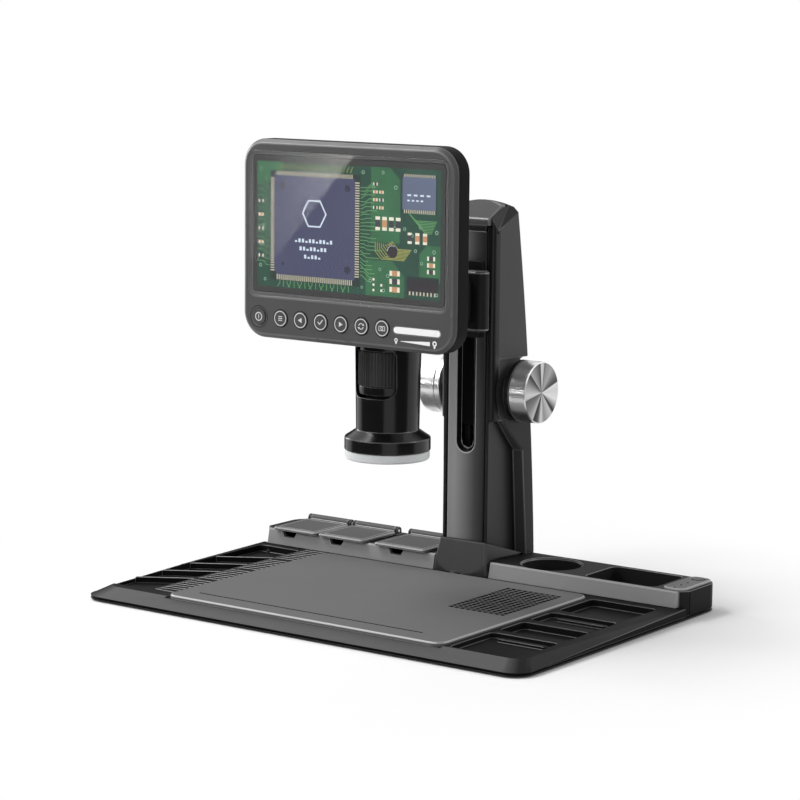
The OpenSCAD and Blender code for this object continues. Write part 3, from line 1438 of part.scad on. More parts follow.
// The barrel: a tapering tube with a window at the front and a flared lamp band
module barrel_shell() color([0.08, 0.08, 0.09]) {
  ring_r = wheel_r - gap;
  lip = lamp_r - over / 2;
  difference() {
    turned([[barrel_waist_r - barrel_wall, flare_z], [barrel_r - barrel_wall, block_z - over],
        [barrel_r - barrel_wall, barrel_top_z - seat], [barrel_r, barrel_top_z - seat],
        [barrel_r, block_z - over], [barrel_waist_r, flare_z], [lip, band_z1],
          [lamp_r, band_z1 - over / 2],
        [lamp_r, band_z0], [led_board_r + 2 * seat, band_z0],
        [led_board_r + 2 * seat, led_board_z + board_t + seat],
        [led_board_hole_r, led_board_z + board_t + seat], [led_board_hole_r, flare_z - 2 * over],
        [barrel_waist_r - barrel_wall, flare_z - 2 * over]]);
    along_y(barrel_y - barrel_r - over, barrel_y - barrel_r / 2)
      translate([0, (window_z0 + window_z1) / 2])
        round_rect(window_w, window_z1 - window_z0, window_r);
  }
  turned([[carrier_hole_r, wheel_z1 + gap], [ring_r, wheel_z1 + gap], [ring_r, window_z1 + seat],
      [barrel_r - barrel_wall + seat, window_z1 + seat],
        [barrel_r - barrel_wall + seat, block_z + over],
      [carrier_hole_r, block_z + over]]);
}

// The ribbed wheel behind the window
module focus_wheel() color([0.1, 0.1, 0.1])
  translate([0, barrel_y, wheel_z0])
    difference() {
      linear_extrude(wheel_z1 - wheel_z0)
        polygon([for (i = [0:2 * wheel_ribs - 1])
          let (a = i * 180 / wheel_ribs, r = i % 2 == 0 ? wheel_r : wheel_r - wheel_rib_depth)
          [r * cos(a), r * sin(a)]]);
      translate([0, 0, -over]) cylinder(r = carrier_hole_r, h = wheel_z1 - wheel_z0 + 2 * over);
    }

// The smooth ring the wheel turns on
module wheel_seat() color([0.12, 0.12, 0.13])
  turned([[carrier_hole_r, seat_ring_z0], [wheel_r - gap, seat_ring_z0], [wheel_r - gap, wheel_z0 - gap],
      [carrier_hole_r, wheel_z0 - gap]]);

module lens_carrier() color([0.2, 0.2, 0.21])
  turned([[lens_r + slip, carrier_z0], [carrier_r - over, carrier_z0], [carrier_r, carrier_z0 + over],
      [carrier_r, carrier_z1], [carrier_r - carrier_wall, carrier_z1],
      [carrier_r - carrier_wall, lens_z + lens_t + seat + 2 * over],
        [lens_r - over, lens_z + lens_t + seat + over],
      [lens_r - over, lens_z + lens_t + seat], [lens_r + slip, lens_z + lens_t + seat]]);

// The objective: a thick lens with two round faces
module objective_lens() color([0.6, 0.75, 0.85])
  translate([0, barrel_y, lens_z]) intersection() {
    cylinder(r = lens_r + slip - seat, h = lens_t);
    translate([0, 0, lens_sphere_r]) sphere(r = lens_sphere_r, $fn = 96);
    translate([0, 0, lens_t - lens_sphere_r]) sphere(r = lens_sphere_r, $fn = 96);
  }

module sensor_board() color([0.08, 0.3, 0.18]) {
  translate([0, barrel_y, sensor_z]) cylinder(r = sensor_r, h = board_t);
  translate([-sensor_chip_w / 2, barrel_y - sensor_chip_w / 2, sensor_z - chip_t])
    cube([sensor_chip_w, sensor_chip_w, chip_t]);
}

// The ring of lamps, facing down
module led_ring() color([0.9, 0.9, 0.85]) {
  mid_r = (led_board_r + led_board_hole_r) / 2;
  turned([[led_board_hole_r, led_board_z], [led_board_r, led_board_z],
      [led_board_r, led_board_z + board_t],
      [led_board_hole_r, led_board_z + board_t]]);
  translate([0, barrel_y, led_board_z - led_t])
    for (i = [0:led_count - 1]) rotate(i * 360 / led_count)
      translate([mid_r - led_w / 2, -led_w / 2, 0]) cube([led_w, led_w, led_t]);
}

// The milky ring that spreads the light
module diffuser() color([0.96, 0.96, 0.95])
  turned([[diffuser_hole_r, lamp_z], [diffuser_r - over, lamp_z], [diffuser_r, lamp_z + over],
      [diffuser_r, lamp_z + diffuser_t], [led_board_r, lamp_z + diffuser_t],
      [led_board_r, band_z0 + 1.5 * over], [led_board_r - over, band_z0 + 1.5 * over],
      [led_board_r - over, lamp_z + 1.5 * over], [diffuser_hole_r, lamp_z + 1.5 * over]]);

base_tray();
rear_shelf();
base_cover();
cover_screws();
rubber_feet();
work_mat();
comb_strip();
bin_ribs();
fascia();
box_lid_left();
box_lid_middle();
box_lid_right();
lid_pins();
control_pad();
pad_button();
status_lenses();
pad_board();
power_inlet();
column_foot();
column_post();
column_housing();
column_cap();
column_screws();
shaft_bushes();
knob_collars();
focus_shaft();
pinion();
knob_left();
knob_right();
lock_knob();
brake_pad();
carriage_slide();
rack();
slot_wiper();
carriage_block();
head_arm();
head_core();
screen_bezel();
screen_glass();
lcd_panel();
rear_cover();
rear_screws();
main_board();
button_board();
touch_strip();
button_power();
button_menu();
button_left();
button_ok();
button_right();
button_rotate();
button_camera();
barrel_shell();
focus_wheel();
wheel_seat();
lens_carrier();
objective_lens();
sensor_board();
led_ring();
diffuser();
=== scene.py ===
import json
import math
import random

import bmesh
import bpy
from mathutils import Matrix, Vector
from mathutils.bvhtree import BVHTree


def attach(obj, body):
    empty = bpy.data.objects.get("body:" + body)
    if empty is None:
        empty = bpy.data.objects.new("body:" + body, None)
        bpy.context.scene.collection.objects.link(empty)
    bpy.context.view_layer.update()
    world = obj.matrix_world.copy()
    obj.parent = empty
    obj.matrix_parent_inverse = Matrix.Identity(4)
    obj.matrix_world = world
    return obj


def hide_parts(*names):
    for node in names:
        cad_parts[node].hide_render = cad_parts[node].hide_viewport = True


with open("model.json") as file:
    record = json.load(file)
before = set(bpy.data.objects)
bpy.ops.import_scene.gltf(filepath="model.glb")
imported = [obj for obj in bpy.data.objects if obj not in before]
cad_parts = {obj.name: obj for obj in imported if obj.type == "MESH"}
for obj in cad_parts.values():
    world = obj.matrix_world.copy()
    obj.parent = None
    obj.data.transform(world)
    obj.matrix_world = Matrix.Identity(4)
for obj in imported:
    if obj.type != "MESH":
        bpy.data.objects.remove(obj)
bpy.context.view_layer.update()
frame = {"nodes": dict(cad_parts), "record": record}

MM = 0.001
SCENE = bpy.context.scene
BODY_OF = {n: b for b, group in frame["record"]["behaviour"]["bodies"].items() for n in group}

# Points nearer than this are one, in metres: in a shape made here, and in a CAD node's loose triangles
SEAM, CAD_SEAM = 1e-7, 2e-6
# Angles in degrees: faces nearly in one plane, edges that are rounded, and edges that stay sharp
FLAT_ANGLE, ROUND_ANGLE, SHARP_ANGLE = 0.25, 30.0, 38.0
ROUND_STEPS = 2
# A rounded edge's points may leave the CAD faces by this share of its width
ROUND_REACH = 0.6
# How far large faces lead the shading of those beside them, as the modifier's weight
FACE_WEIGHT = 60


# Small tools for meshes

def link(name, data):
    """A new object at the origin that shows a mesh, or is a lamp or a camera."""
    made = bpy.data.objects.new(name, data)
    SCENE.collection.objects.link(made)
    return made


def mesh_of(name, points, faces, unit=MM):
    """A mesh from points, in millimetres or in another unit, and faces."""
    mesh = bpy.data.meshes.new(name)
    mesh.from_pydata([Vector(p) * unit for p in points], [], faces)
    return mesh


def settle(piece):
    """Work a piece's modifiers into a plain mesh, and remove them."""
    bpy.context.view_layer.update()
    graph = bpy.context.evaluated_depsgraph_get()
    mesh = bpy.data.meshes.new_from_object(piece.evaluated_get(graph), depsgraph=graph)
    piece.modifiers.clear()
    old = piece.data
    piece.data = mesh
    mesh.name = piece.name
    bpy.data.meshes.remove(old)


def even_shading(piece, angle=SHARP_ANGLE):
    """Smooth shading that keeps flats flat and true edges sharp."""
    piece.data.shade_smooth()
    piece.data.set_sharp_from_angle(angle=math.radians(angle))
    weigh = piece.modifiers.new("even", "WEIGHTED_NORMAL")
    weigh.keep_sharp = True
    weigh.weight = FACE_WEIGHT
    settle(piece)


def from_faces(name, points, faces, material, body, smooth=None):
    """A piece from points in millimetres and faces, in a material, on a body."""
    mesh = mesh_of(name, points, faces)
    work = bmesh.new()
    work.from_mesh(mesh)
    bmesh.ops.remove_doubles(work, verts=work.verts, dist=SEAM)
    bmesh.ops.recalc_face_normals(work, faces=work.faces)
    work.to_mesh(mesh)
    work.free()
    mesh.materials.append(material)
    piece = link(name, mesh)
    if smooth:
        even_shading(piece, smooth)
    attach(piece, body)
    return piece


def draw_back(piece, source, reach):
    """Put back the points that the rounding throws off the solid's own faces or past its box."""
    tree = BVHTree.FromPolygons([v.co for v in source.vertices], [f.vertices for f in source.polygons])
    ends = [(min(v.co[i] for v in source.vertices), max(v.co[i] for v in source.vertices)) for i in range(3)]
    for vertex in piece.data.vertices:
        spot, _, _, away = tree.find_nearest(vertex.co)
        at = spot if away > reach else vertex.co
        vertex.co = [min(max(at[i], ends[i][0]), ends[i][1]) for i in range(3)]


def rounded(node, width, material, edge=None, flat=FLAT_ANGLE):
    """A CAD node's own shape with its sharp edges rounded, in the node's place."""
    mesh = frame["nodes"][node].data.copy()
    mesh.materials.clear()
    work = bmesh.new()
    work.from_mesh(mesh)
    bmesh.ops.remove_doubles(work, verts=work.verts, dist=CAD_SEAM)
    bmesh.ops.dissolve_limit(work, angle_limit=math.radians(flat), verts=work.verts, edges=work.edges)
    work.to_mesh(mesh)
    work.free()
    mesh.materials.append(material)
    if edge:
        mesh.materials.append(edge)
    piece = link(node + "_finished", mesh)
    bevel = piece.modifiers.new("round", "BEVEL")
    # The rounded edges take the edge material where one is given: mostly a lighter grey, a painted highlight,
    # and on the pad's button a near black, a painted shade
    bevel.material = 1 if edge else -1
    bevel.width = width * MM
    bevel.segments = ROUND_STEPS
    bevel.limit_method = "ANGLE"
    bevel.angle_limit = math.radians(ROUND_ANGLE)
    bevel.use_clamp_overlap = False
    settle(piece)
    draw_back(piece, frame["nodes"][node].data, ROUND_REACH * width * MM)
    even_shading(piece)
    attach(piece, BODY_OF[node])
    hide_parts(node)
    return piece


def reach_of(node, axis=1, side=-1):
    """How far a CAD node reaches along an axis, in millimetres: to the front, where nothing else is said."""
    return side * max(side * v.co[axis] for v in frame["nodes"][node].data.vertices) / MM


# Node trees

def place(tree, kind, **values):
    """A node of a tree, with its properties and its inputs' values set."""
    made = tree.nodes.new(kind)
    for name, value in values.items():
        if hasattr(made, name):
            setattr(made, name, value)
        else:
            made.inputs[name.replace("_", " ")].default_value = value
    return made


def reckon(tree, operation, *values):
    """The outcome of a math node, from sockets and numbers in the order of its inputs."""
    made = place(tree, "ShaderNodeMath", operation=operation)
    for socket, value in zip(made.inputs, values):
        if isinstance(value, bpy.types.NodeSocket):
            tree.links.new(value, socket)
        else:
            socket.default_value = value
    return made.outputs[0]


def grey_ramp(tree, *stops):
    """A colour ramp of greys, from two or more pairs of a place and a value."""
    ramp = place(tree, "ShaderNodeValToRGB")
    marks = ramp.color_ramp.elements
    for mark, (at, value) in ((marks[1], stops[-1]), (marks[0], stops[0])):
        mark.position, mark.color = at, grey(value)
    for at, value in stops[1:-1]:
        marks.new(at).color = grey(value)
    return ramp


def group_tree(name, kind, inputs, outputs):
    """An empty node group with named sockets, and its two end nodes."""
    tree = bpy.data.node_groups.new(name, kind)
    for title, socket, value in inputs:
        made = tree.interface.new_socket(title, in_out="INPUT", socket_type=socket)
        if value is not None:
            made.default_value = value
    for title, socket in outputs:
        tree.interface.new_socket(title, in_out="OUTPUT", socket_type=socket)
    return tree, tree.nodes.new("NodeGroupInput"), tree.nodes.new("NodeGroupOutput")


def skin_group():
    """Moulded or painted skin: a soft cloud of tone, a fine grain, and a little rub in the gloss."""
    tree, start, end = group_tree(
        "moulded_skin", "ShaderNodeTree",
        [("Colour", "NodeSocketColor", (0.5, 0.5, 0.5, 1)), ("Cloud", "NodeSocketFloat", 0.08),
         ("Cloud Scale", "NodeSocketFloat", 14.0), ("Grain Scale", "NodeSocketFloat", 1500.0),
         ("Gloss Low", "NodeSocketFloat", 0.35), ("Gloss High", "NodeSocketFloat", 0.45)],
        [("Colour", "NodeSocketColor"), ("Roughness", "NodeSocketFloat"), ("Height", "NodeSocketFloat")])
    join = tree.links.new
    where = place(tree, "ShaderNodeTexCoord")
    cloud = place(tree, "ShaderNodeTexNoise", Detail=3.0, Roughness=0.55)
    grain = place(tree, "ShaderNodeTexNoise", Detail=2.0, Roughness=0.5)
    for noise, scale in ((cloud, "Cloud Scale"), (grain, "Grain Scale")):
        join(where.outputs["Object"], noise.inputs["Vector"])
        join(start.outputs[scale], noise.inputs["Scale"])
    spread = reckon(tree, "SUBTRACT", cloud.outputs["Fac"], 0.5)
    clouded = reckon(tree, "MULTIPLY_ADD", spread, start.outputs["Cloud"], 1.0)
    flecked = reckon(tree, "MULTIPLY_ADD", grain.outputs["Fac"], GRAIN_TONE, clouded)
    tint = place(tree, "ShaderNodeVectorMath", operation="SCALE")
    join(start.outputs["Colour"], tint.inputs[0])
    join(flecked, tint.inputs["Scale"])
    gloss = place(tree, "ShaderNodeMapRange", From_Min=0.35, From_Max=0.65)
    join(cloud.outputs["Fac"], gloss.inputs["Value"])
    join(start.outputs["Gloss Low"], gloss.inputs["To Min"])
    join(start.outputs["Gloss High"], gloss.inputs["To Max"])
    join(tint.outputs[0], end.inputs["Colour"])
    join(gloss.outputs[0], end.inputs["Roughness"])
    join(grain.outputs["Fac"], end.inputs["Height"])
    return tree


def turning_group():
    """About a line along X: a lathe's fine rings in height, soft spokes of painted sheen, and the turn."""
    tree, start, end = group_tree(
        "lathe_rings_and_painted_sheen", "ShaderNodeTree",
        [("Centre", "NodeSocketVector", (0, 0, 0)), ("Ring Scale", "NodeSocketFloat", 2500.0),
         ("Spokes", "NodeSocketFloat", 3.0)],
        [("Rings", "NodeSocketFloat"), ("Painted Sheen", "NodeSocketFloat"), ("Turn", "NodeSocketFloat")])
    join = tree.links.new
    where = place(tree, "ShaderNodeTexCoord")
    local = place(tree, "ShaderNodeVectorMath", operation="SUBTRACT")
    join(where.outputs["Object"], local.inputs[0])
    join(start.outputs["Centre"], local.inputs[1])
    flat = place(tree, "ShaderNodeVectorMath", operation="MULTIPLY")
    flat.inputs[1].default_value = (0, 1, 1)
    join(local.outputs[0], flat.inputs[0])
    length = place(tree, "ShaderNodeVectorMath", operation="LENGTH")
    join(flat.outputs[0], length.inputs[0])
    rings = place(tree, "ShaderNodeTexNoise", noise_dimensions="1D", Detail=3.0)
    join(length.outputs["Value"], rings.inputs["W"])
    join(start.outputs["Ring Scale"], rings.inputs["Scale"])
    parts = place(tree, "ShaderNodeSeparateXYZ")
    join(local.outputs[0], parts.inputs[0])
    turn = reckon(tree, "ARCTAN2", parts.outputs["Z"], parts.outputs["Y"])
    waves = []
    for times, shift in PAINTED_SPOKE_WAVES:
        count = reckon(tree, "ROUND", reckon(tree, "MULTIPLY", start.outputs["Spokes"], times))
        angle = reckon(tree, "MULTIPLY", turn, count)
        waves.append(reckon(tree, "COSINE", reckon(tree, "ADD", angle, shift)))
    added = reckon(tree, "ADD", reckon(tree, "ADD", waves[0], waves[1]), waves[2])
    tone = place(tree, "ShaderNodeMapRange", From_Min=-len(waves), From_Max=len(waves))
    join(added, tone.inputs["Value"])
    whole = place(tree, "ShaderNodeMapRange", From_Min=-math.pi, From_Max=math.pi)
    join(turn, whole.inputs["Value"])
    join(rings.outputs["Fac"], end.inputs["Rings"])
    join(tone.outputs[0], end.inputs["Painted Sheen"])
    join(whole.outputs[0], end.inputs["Turn"])
    return tree


# How much the grain lightens a skin's colour
GRAIN_TONE = 0.06
# The painted spokes of sheen are three waves round the turn: how many times over each runs, and its shift
PAINTED_SPOKE_WAVES = ((1.0, 0.6), (2.0, 2.1), (3.7, 0.4))
SKIN = skin_group()
LATHE = turning_group()


# Kinds of material

def grey(value):
    """A grey as a colour."""
    return (value, value, value, 1)


def set_inputs(node, **values):
    """Set a node's inputs by their names."""
    for name, value in values.items():
        node.inputs[name.replace("_", " ")].default_value = value


def blank(name):
    """A material with a Principled shader and nothing else, with its tree and shader."""
    made = bpy.data.materials.new(name)
    made.use_nodes = True
    tree = made.node_tree
    return made, tree, tree.nodes["Principled BSDF"]


def skinned(name, **values):
    """A material with the skin in its colour and gloss, with its tree, its shader and the skin's node."""
    made, tree, shader = blank(name)
    skin = place(tree, "ShaderNodeGroup", node_tree=SKIN, **values)
    tree.links.new(skin.outputs["Colour"], shader.inputs["Base Color"])
    tree.links.new(skin.outputs["Roughness"], shader.inputs["Roughness"])
    return made, tree, shader, skin


def raise_marks(tree, height, shader, strength, depth):
    """Shade a shader's surface as if a height stood up from it, to a depth in millimetres."""
    bump = place(tree, "ShaderNodeBump", Strength=strength, Distance=depth * MM)
    tree.links.new(height, bump.inputs["Height"])
    tree.links.new(bump.outputs["Normal"], shader.inputs["Normal"])


def moulded(name, colour, gloss=(0.34, 0.44), cloud=0.1, grain=1500.0, depth=0.004, shine=0.5, **plain):
    """Moulded plastic, rubber, paint or board: a skin of cloud, grain and uneven gloss."""
    made, tree, shader, skin = skinned(name, Colour=colour, Cloud=cloud, Grain_Scale=grain,
                                       Gloss_Low=gloss[0], Gloss_High=gloss[1])
    if depth:
        raise_marks(tree, skin.outputs["Height"], shader, strength=0.5, depth=depth)
    set_inputs(shader, Specular_IOR_Level=shine, **plain)
    return made


def spun(name, mark, spokes, *tones):
    """Turned metal with lathe rings, and a ramp of greys, a painted reflection, that follows the soft spokes
    or the turn.
    """
    made, tree, shader = blank(name)
    marks = place(tree, "ShaderNodeGroup", node_tree=LATHE, Centre=KNOB_AT, Spokes=spokes)
    join = tree.links.new
    ramp = grey_ramp(tree, *tones)
    join(marks.outputs[mark], ramp.inputs["Fac"])
    join(ramp.outputs["Color"], shader.inputs["Base Color"])
    gloss = place(tree, "ShaderNodeMapRange", To_Min=KNOB_ROUGH * 0.85, To_Max=KNOB_ROUGH * 1.2)
    join(marks.outputs["Rings"], gloss.inputs["Value"])
    join(gloss.outputs[0], shader.inputs["Roughness"])
    raise_marks(tree, marks.outputs["Rings"], shader, strength=0.4, depth=KNOB_RINGS)
    set_inputs(shader, Metallic=1.0)
    return made


def lit(name, colour, spread=0.25, scale=900.0):
    """Light from the screen's picture: one ink, with a fine uneven tone. The black ink round the picture
    takes it too, as a painted glow.
    """
    made, tree, shader = blank(name)
    skin = place(tree, "ShaderNodeGroup", node_tree=SKIN, Colour=colour, Cloud=spread, Cloud_Scale=scale)
    tree.links.new(skin.outputs["Colour"], shader.inputs["Emission Color"])
    set_inputs(shader, Emission_Strength=1.0, Base_Color=grey(0.004), Roughness=0.6)
    return made


def clear(name, tint=(1, 1, 1, 1), ior=1.45):
    """Clear glass, with a trace of the skin in its tint and gloss."""
    made, _, shader, _ = skinned(name, Colour=tint, Cloud=0.02, Gloss_Low=0.02, Gloss_High=0.03)
    set_inputs(shader, Transmission_Weight=1.0, IOR=ior)
    return made


def painted_post_highlight():
    """The post's face: satin black paint, with a painted highlight that grows lighter towards its left edge.
    """
    made, tree, shader, skin = skinned("post_painted_highlight", Cloud=0.05, Gloss_Low=0.3, Gloss_High=0.38)
    where = place(tree, "ShaderNodeTexCoord")
    parts = place(tree, "ShaderNodeSeparateXYZ")
    across = place(tree, "ShaderNodeMapRange", From_Min=-POST_HALF * MM, From_Max=POST_HALF * MM)
    # Painted highlight: light at the left edge, falling to near black at the right
    ramp = grey_ramp(tree, (0.0, 0.24), (0.22, 0.27), (0.75, 0.06), (0.9, 0.035), (1.0, 0.03))
    join = tree.links.new
    join(where.outputs["Object"], parts.inputs[0])
    join(parts.outputs["X"], across.inputs["Value"])
    join(across.outputs[0], ramp.inputs["Fac"])
    join(ramp.outputs["Color"], skin.inputs["Colour"])
    set_inputs(shader, Specular_IOR_Level=0.2)
    return made


def rim_painted_by_facing():
    """The tray's sloped rim, in painted light: lighter where it faces the front, darkest round its corners.
    """
    made, tree, shader, skin = skinned("tray_rim_painted_light", Cloud=0.06, Grain_Scale=1800.0,
                                       Gloss_Low=0.42, Gloss_High=0.54)
    where = place(tree, "ShaderNodeNewGeometry")
    parts = place(tree, "ShaderNodeSeparateXYZ")
    join = tree.links.new
    join(where.outputs["True Normal"], parts.inputs[0])
    facing = reckon(tree, "MULTIPLY", parts.outputs["Y"], -2.0)
    ramp = grey_ramp(tree, (0.0, 0.022), (0.2, 0.006), (0.5, 0.006), (0.68, 0.06), (0.76, 0.12))
    join(facing, ramp.inputs["Fac"])
    join(ramp.outputs["Color"], skin.inputs["Colour"])
    set_inputs(shader, Specular_IOR_Level=0.08)
    return made


# The finishes

BLACK = moulded("black_moulding", grey(0.009), (0.34, 0.44), shine=0.16)
# A lighter grey for the barrel's rounded edges: a painted highlight
EDGE = moulded("black_edge_painted_highlight", grey(0.03), (0.24, 0.32), depth=0, shine=0.5)
TRAY = moulded("tray_moulding", grey(0.007), (0.42, 0.54), grain=1800.0, depth=0.006, shine=0.05)
# A lighter grey for the tray's rounded edges: a painted highlight
TRAY_EDGE_HIGHLIGHT = moulded("tray_edge_painted_highlight", grey(0.05), (0.3, 0.4), depth=0, shine=0.4)
SHELF = moulded("shelf_moulding", grey(0.016), (0.38, 0.5), grain=1800.0, depth=0.006, shine=0.1)
MAT = moulded("mat_rubber", grey(0.13), (0.5, 0.6), grain=2200.0, depth=0.01, shine=0.1)
# A lighter grey for the mat's rounded edges and lip: a painted highlight
MAT_EDGE_HIGHLIGHT = moulded("mat_edge", grey(0.42), (0.4, 0.5), depth=0, shine=0.3)
FASCIA = moulded("fascia_moulding", grey(0.27), (0.4, 0.5), shine=0.15)
# A lighter grey for the rounded edges of the fascia, the pad and the post: a painted highlight
FASCIA_EDGE_HIGHLIGHT = moulded("fascia_edge_painted_highlight", grey(0.32), (0.3, 0.4), depth=0)
LID = moulded("lid_moulding", grey(0.085), (0.4, 0.5), shine=0.15)
# A lighter grey for the lids' rounded edges: a painted highlight
LID_EDGE_HIGHLIGHT = moulded("lid_edge", grey(0.36), (0.3, 0.4), depth=0)
PAD = moulded("pad_moulding", grey(0.12), (0.36, 0.46), shine=0.15)
CHEEK = moulded("housing_moulding", grey(0.075), (0.4, 0.5), shine=0.12)
# A lighter grey for rounded edges of the housing, cap, shelf, block and collars: a painted highlight
CHEEK_EDGE_HIGHLIGHT = moulded("housing_edge_painted_highlight", grey(0.12), (0.26, 0.34), depth=0)
STRIP = moulded("housing_strip", grey(0.008), (0.3, 0.38), shine=0.3)
BLOCK = moulded("block_moulding", grey(0.009), (0.42, 0.5), shine=0.15)
BEZEL = moulded("bezel_moulding", grey(0.068), (0.38, 0.48), shine=0.3)
# A lighter grey for the bezel's rounded edges: a painted highlight
BEZEL_EDGE_HIGHLIGHT = moulded("bezel_edge", grey(0.1), (0.26, 0.34), depth=0)
SIDE = moulded("bezel_side", grey(0.003), (0.5, 0.6), depth=0.001, shine=0.06)
# Near black for hollows, the button's dish and the slide in the slot: painted shade
PAINTED_SHADE = moulded("slot_black_painted_shade", grey(0.002), (0.4, 0.5), depth=0, shine=0.03)
FOOT = moulded("foot_moulding", grey(0.028), (0.34, 0.42), shine=0.3)
# Near black: the status lenses' own smoky colour, and painted shade on the shelf's right end
END = moulded("shelf_end", grey(0.004), (0.4, 0.5), depth=0.003, shine=0.06)
# A light grey for the rounded edges of the comb and the ribs: a painted highlight
BRIGHT_EDGE_HIGHLIGHT = moulded("bright_edge_painted_highlight", grey(0.4), (0.3, 0.4), depth=0)
GLOSS = moulded("barrel_lacquer", grey(0.006), (0.16, 0.24), depth=0.001, shine=0.3)
WHEEL = moulded("wheel_moulding", grey(0.02), (0.3, 0.4), shine=0.4)
KEY = moulded("key_moulding", grey(0.06), (0.36, 0.44), shine=0.3)
RUBBER = moulded("foot_rubber", grey(0.03), (0.7, 0.85), depth=0.02)
WHITE = moulded("white_print", grey(0.86), (0.4, 0.5), cloud=0.03)
MILKY = moulded("milky_diffuser", grey(0.62), (0.4, 0.5), cloud=0.03, Subsurface_Weight=0.1)
# The black ink under the glass round the picture: a faint painted glow that stands in for the light the glass
# keeps off it
INK_GLOW = lit("glass_ink_painted_glow", grey(0.022), 0.1, 20.0)
STEEL = moulded("steel", grey(0.6), (0.22, 0.34), Metallic=1.0)
BRASS = moulded("brass", (0.62, 0.42, 0.16, 1), (0.26, 0.38), Metallic=1.0)
BOARD = moulded("circuit_board", (0.015, 0.12, 0.05, 1), (0.3, 0.4), cloud=0.3)
FELT = moulded("brake_felt", grey(0.5), (0.8, 0.9), depth=0.05)
GLASS = clear("screen_glass_clear", ior=1.12)
OBJECTIVE = clear("objective_glass", (0.9, 0.97, 1, 1))
# Half the width of the post, in millimetres
POST_HALF = 16.6
POST = painted_post_highlight()
TRAY_RIM_PAINTED_LIGHT = rim_painted_by_facing()

# The knobs' middle in metres, their roughness, and their rings' height in millimetres
KNOB_AT = (0, 0.107, 0.143)
KNOB_ROUGH, KNOB_RINGS = 0.3, 0.01
# Painted wedges of reflected light round a knob's face: degrees of the turn, and a grey at each
PAINTED_WEDGES = [(0, 0.55), (8, 0.5), (11, 0.1), (36, 0.2), (58, 0.45), (60, 0.01), (76, 0.09), (88, 0.6),
          (100, 0.25), (128, 0.5), (134, 0.02), (138, 0.04), (160, 0.7), (180, 0.6), (195, 0.7), (197, 0.05),
          (210, 0.12), (232, 0.35), (256, 0.25), (260, 0.08), (264, 0.5), (274, 0.6), (277, 0.06), (284, 0.1),
          (314, 0.35), (317, 0.02), (330, 0.16), (360, 0.55)]
# The knobs' turned metal: soft spokes of painted sheen on the side, painted wedges of reflection on the face
KNOB_SIDE = spun("knob_side_metal_painted_sheen", "Painted Sheen", 5.0, (0.3, 0.82), (0.7, 0.96))
KNOB_FACE = spun("knob_face_metal_painted_glints", "Turn", 3.0, *((at / 360, value) for at, value in PAINTED_WEDGES))

# The nodes' finishes

# The middle of each key across the head, in millimetres, from left to right
KEY_X = {"power": -74.6, "menu": -55.6, "left": -38.3, "ok": -21.0, "right": -3.7, "rotate": 13.6,
         "camera": 30.9}
# Each node's material and how far its edges are rounded, in millimetres. Some name another material for the
# rounded edges: a lighter grey there is a painted highlight, the housing's grey on the foot too, and the
# slot's near black on the pad's button is a painted shade. The slide in the slot is in that near black, a
# painted shade, and the LCD panel in the ink's painted glow. The tray also gives the angle in degrees up to
# which its faces count as one flat.
FINISH = {
    "base_tray": (TRAY, 0.5, TRAY_EDGE_HIGHLIGHT, 0.02), "rear_shelf": (SHELF, 0.5, CHEEK_EDGE_HIGHLIGHT),
    "base_cover": (BLACK, 0.3), "cover_screws": (STEEL, 0), "rubber_feet": (RUBBER, 0.3),
    "work_mat": (MAT, 0.25, MAT_EDGE_HIGHLIGHT), "comb_strip": (TRAY, 0.25, BRIGHT_EDGE_HIGHLIGHT),
    "bin_ribs": (TRAY, 0.35, BRIGHT_EDGE_HIGHLIGHT), "fascia": (FASCIA, 0.5, FASCIA_EDGE_HIGHLIGHT),
    "box_lid_left": (LID, 0.4, LID_EDGE_HIGHLIGHT), "box_lid_middle": (LID, 0.4, LID_EDGE_HIGHLIGHT),
    "box_lid_right": (LID, 0.4, LID_EDGE_HIGHLIGHT), "lid_pins": (STEEL, 0), "control_pad": (PAD, 0.5, FASCIA_EDGE_HIGHLIGHT),
    "pad_button": (PAD, 0.3, PAINTED_SHADE), "status_lenses": (END, 0.1), "pad_board": (BOARD, 0),
    "power_inlet": (STEEL, 0.2), "column_foot": (FOOT, 1.6, CHEEK), "column_post": (POST, 0.5, FASCIA_EDGE_HIGHLIGHT),
    "column_housing": (CHEEK, 0.8, CHEEK_EDGE_HIGHLIGHT), "column_cap": (CHEEK, 1.0, CHEEK_EDGE_HIGHLIGHT),
    "column_screws": (STEEL, 0), "shaft_bushes": (BRASS, 0), "knob_collars": (BLACK, 0.5, CHEEK_EDGE_HIGHLIGHT),
    "focus_shaft": (STEEL, 0), "pinion": (BRASS, 0), "lock_knob": (BLACK, 0.35), "brake_pad": (FELT, 0),
    # The slide in the slot: near black, a painted shade
    "carriage_slide": (PAINTED_SHADE, 0.3), "rack": (BRASS, 0), "slot_wiper": (BLACK, 0.3),
    "carriage_block": (BLOCK, 0.8, CHEEK_EDGE_HIGHLIGHT), "head_arm": (BLACK, 0.5), "head_core": (BLACK, 0.8),
    "screen_bezel": (BEZEL, 0.8, BEZEL_EDGE_HIGHLIGHT), "lcd_panel": (INK_GLOW, 0), "rear_cover": (SIDE, 1.2),
    "rear_screws": (STEEL, 0), "main_board": (BOARD, 0), "button_board": (BOARD, 0),
    "touch_strip": (WHITE, 0.2), **{"button_" + name: (KEY, 0.3) for name in KEY_X},
    "barrel_shell": (GLOSS, 0.5, EDGE), "focus_wheel": (WHEEL, 0.1), "wheel_seat": (GLOSS, 0.4, EDGE),
    "lens_carrier": (BLACK, 0.3), "objective_lens": (OBJECTIVE, 0), "sensor_board": (BOARD, 0),
    "led_ring": (BOARD, 0), "diffuser": (MILKY, 0.6),
}
DRESSED = {}
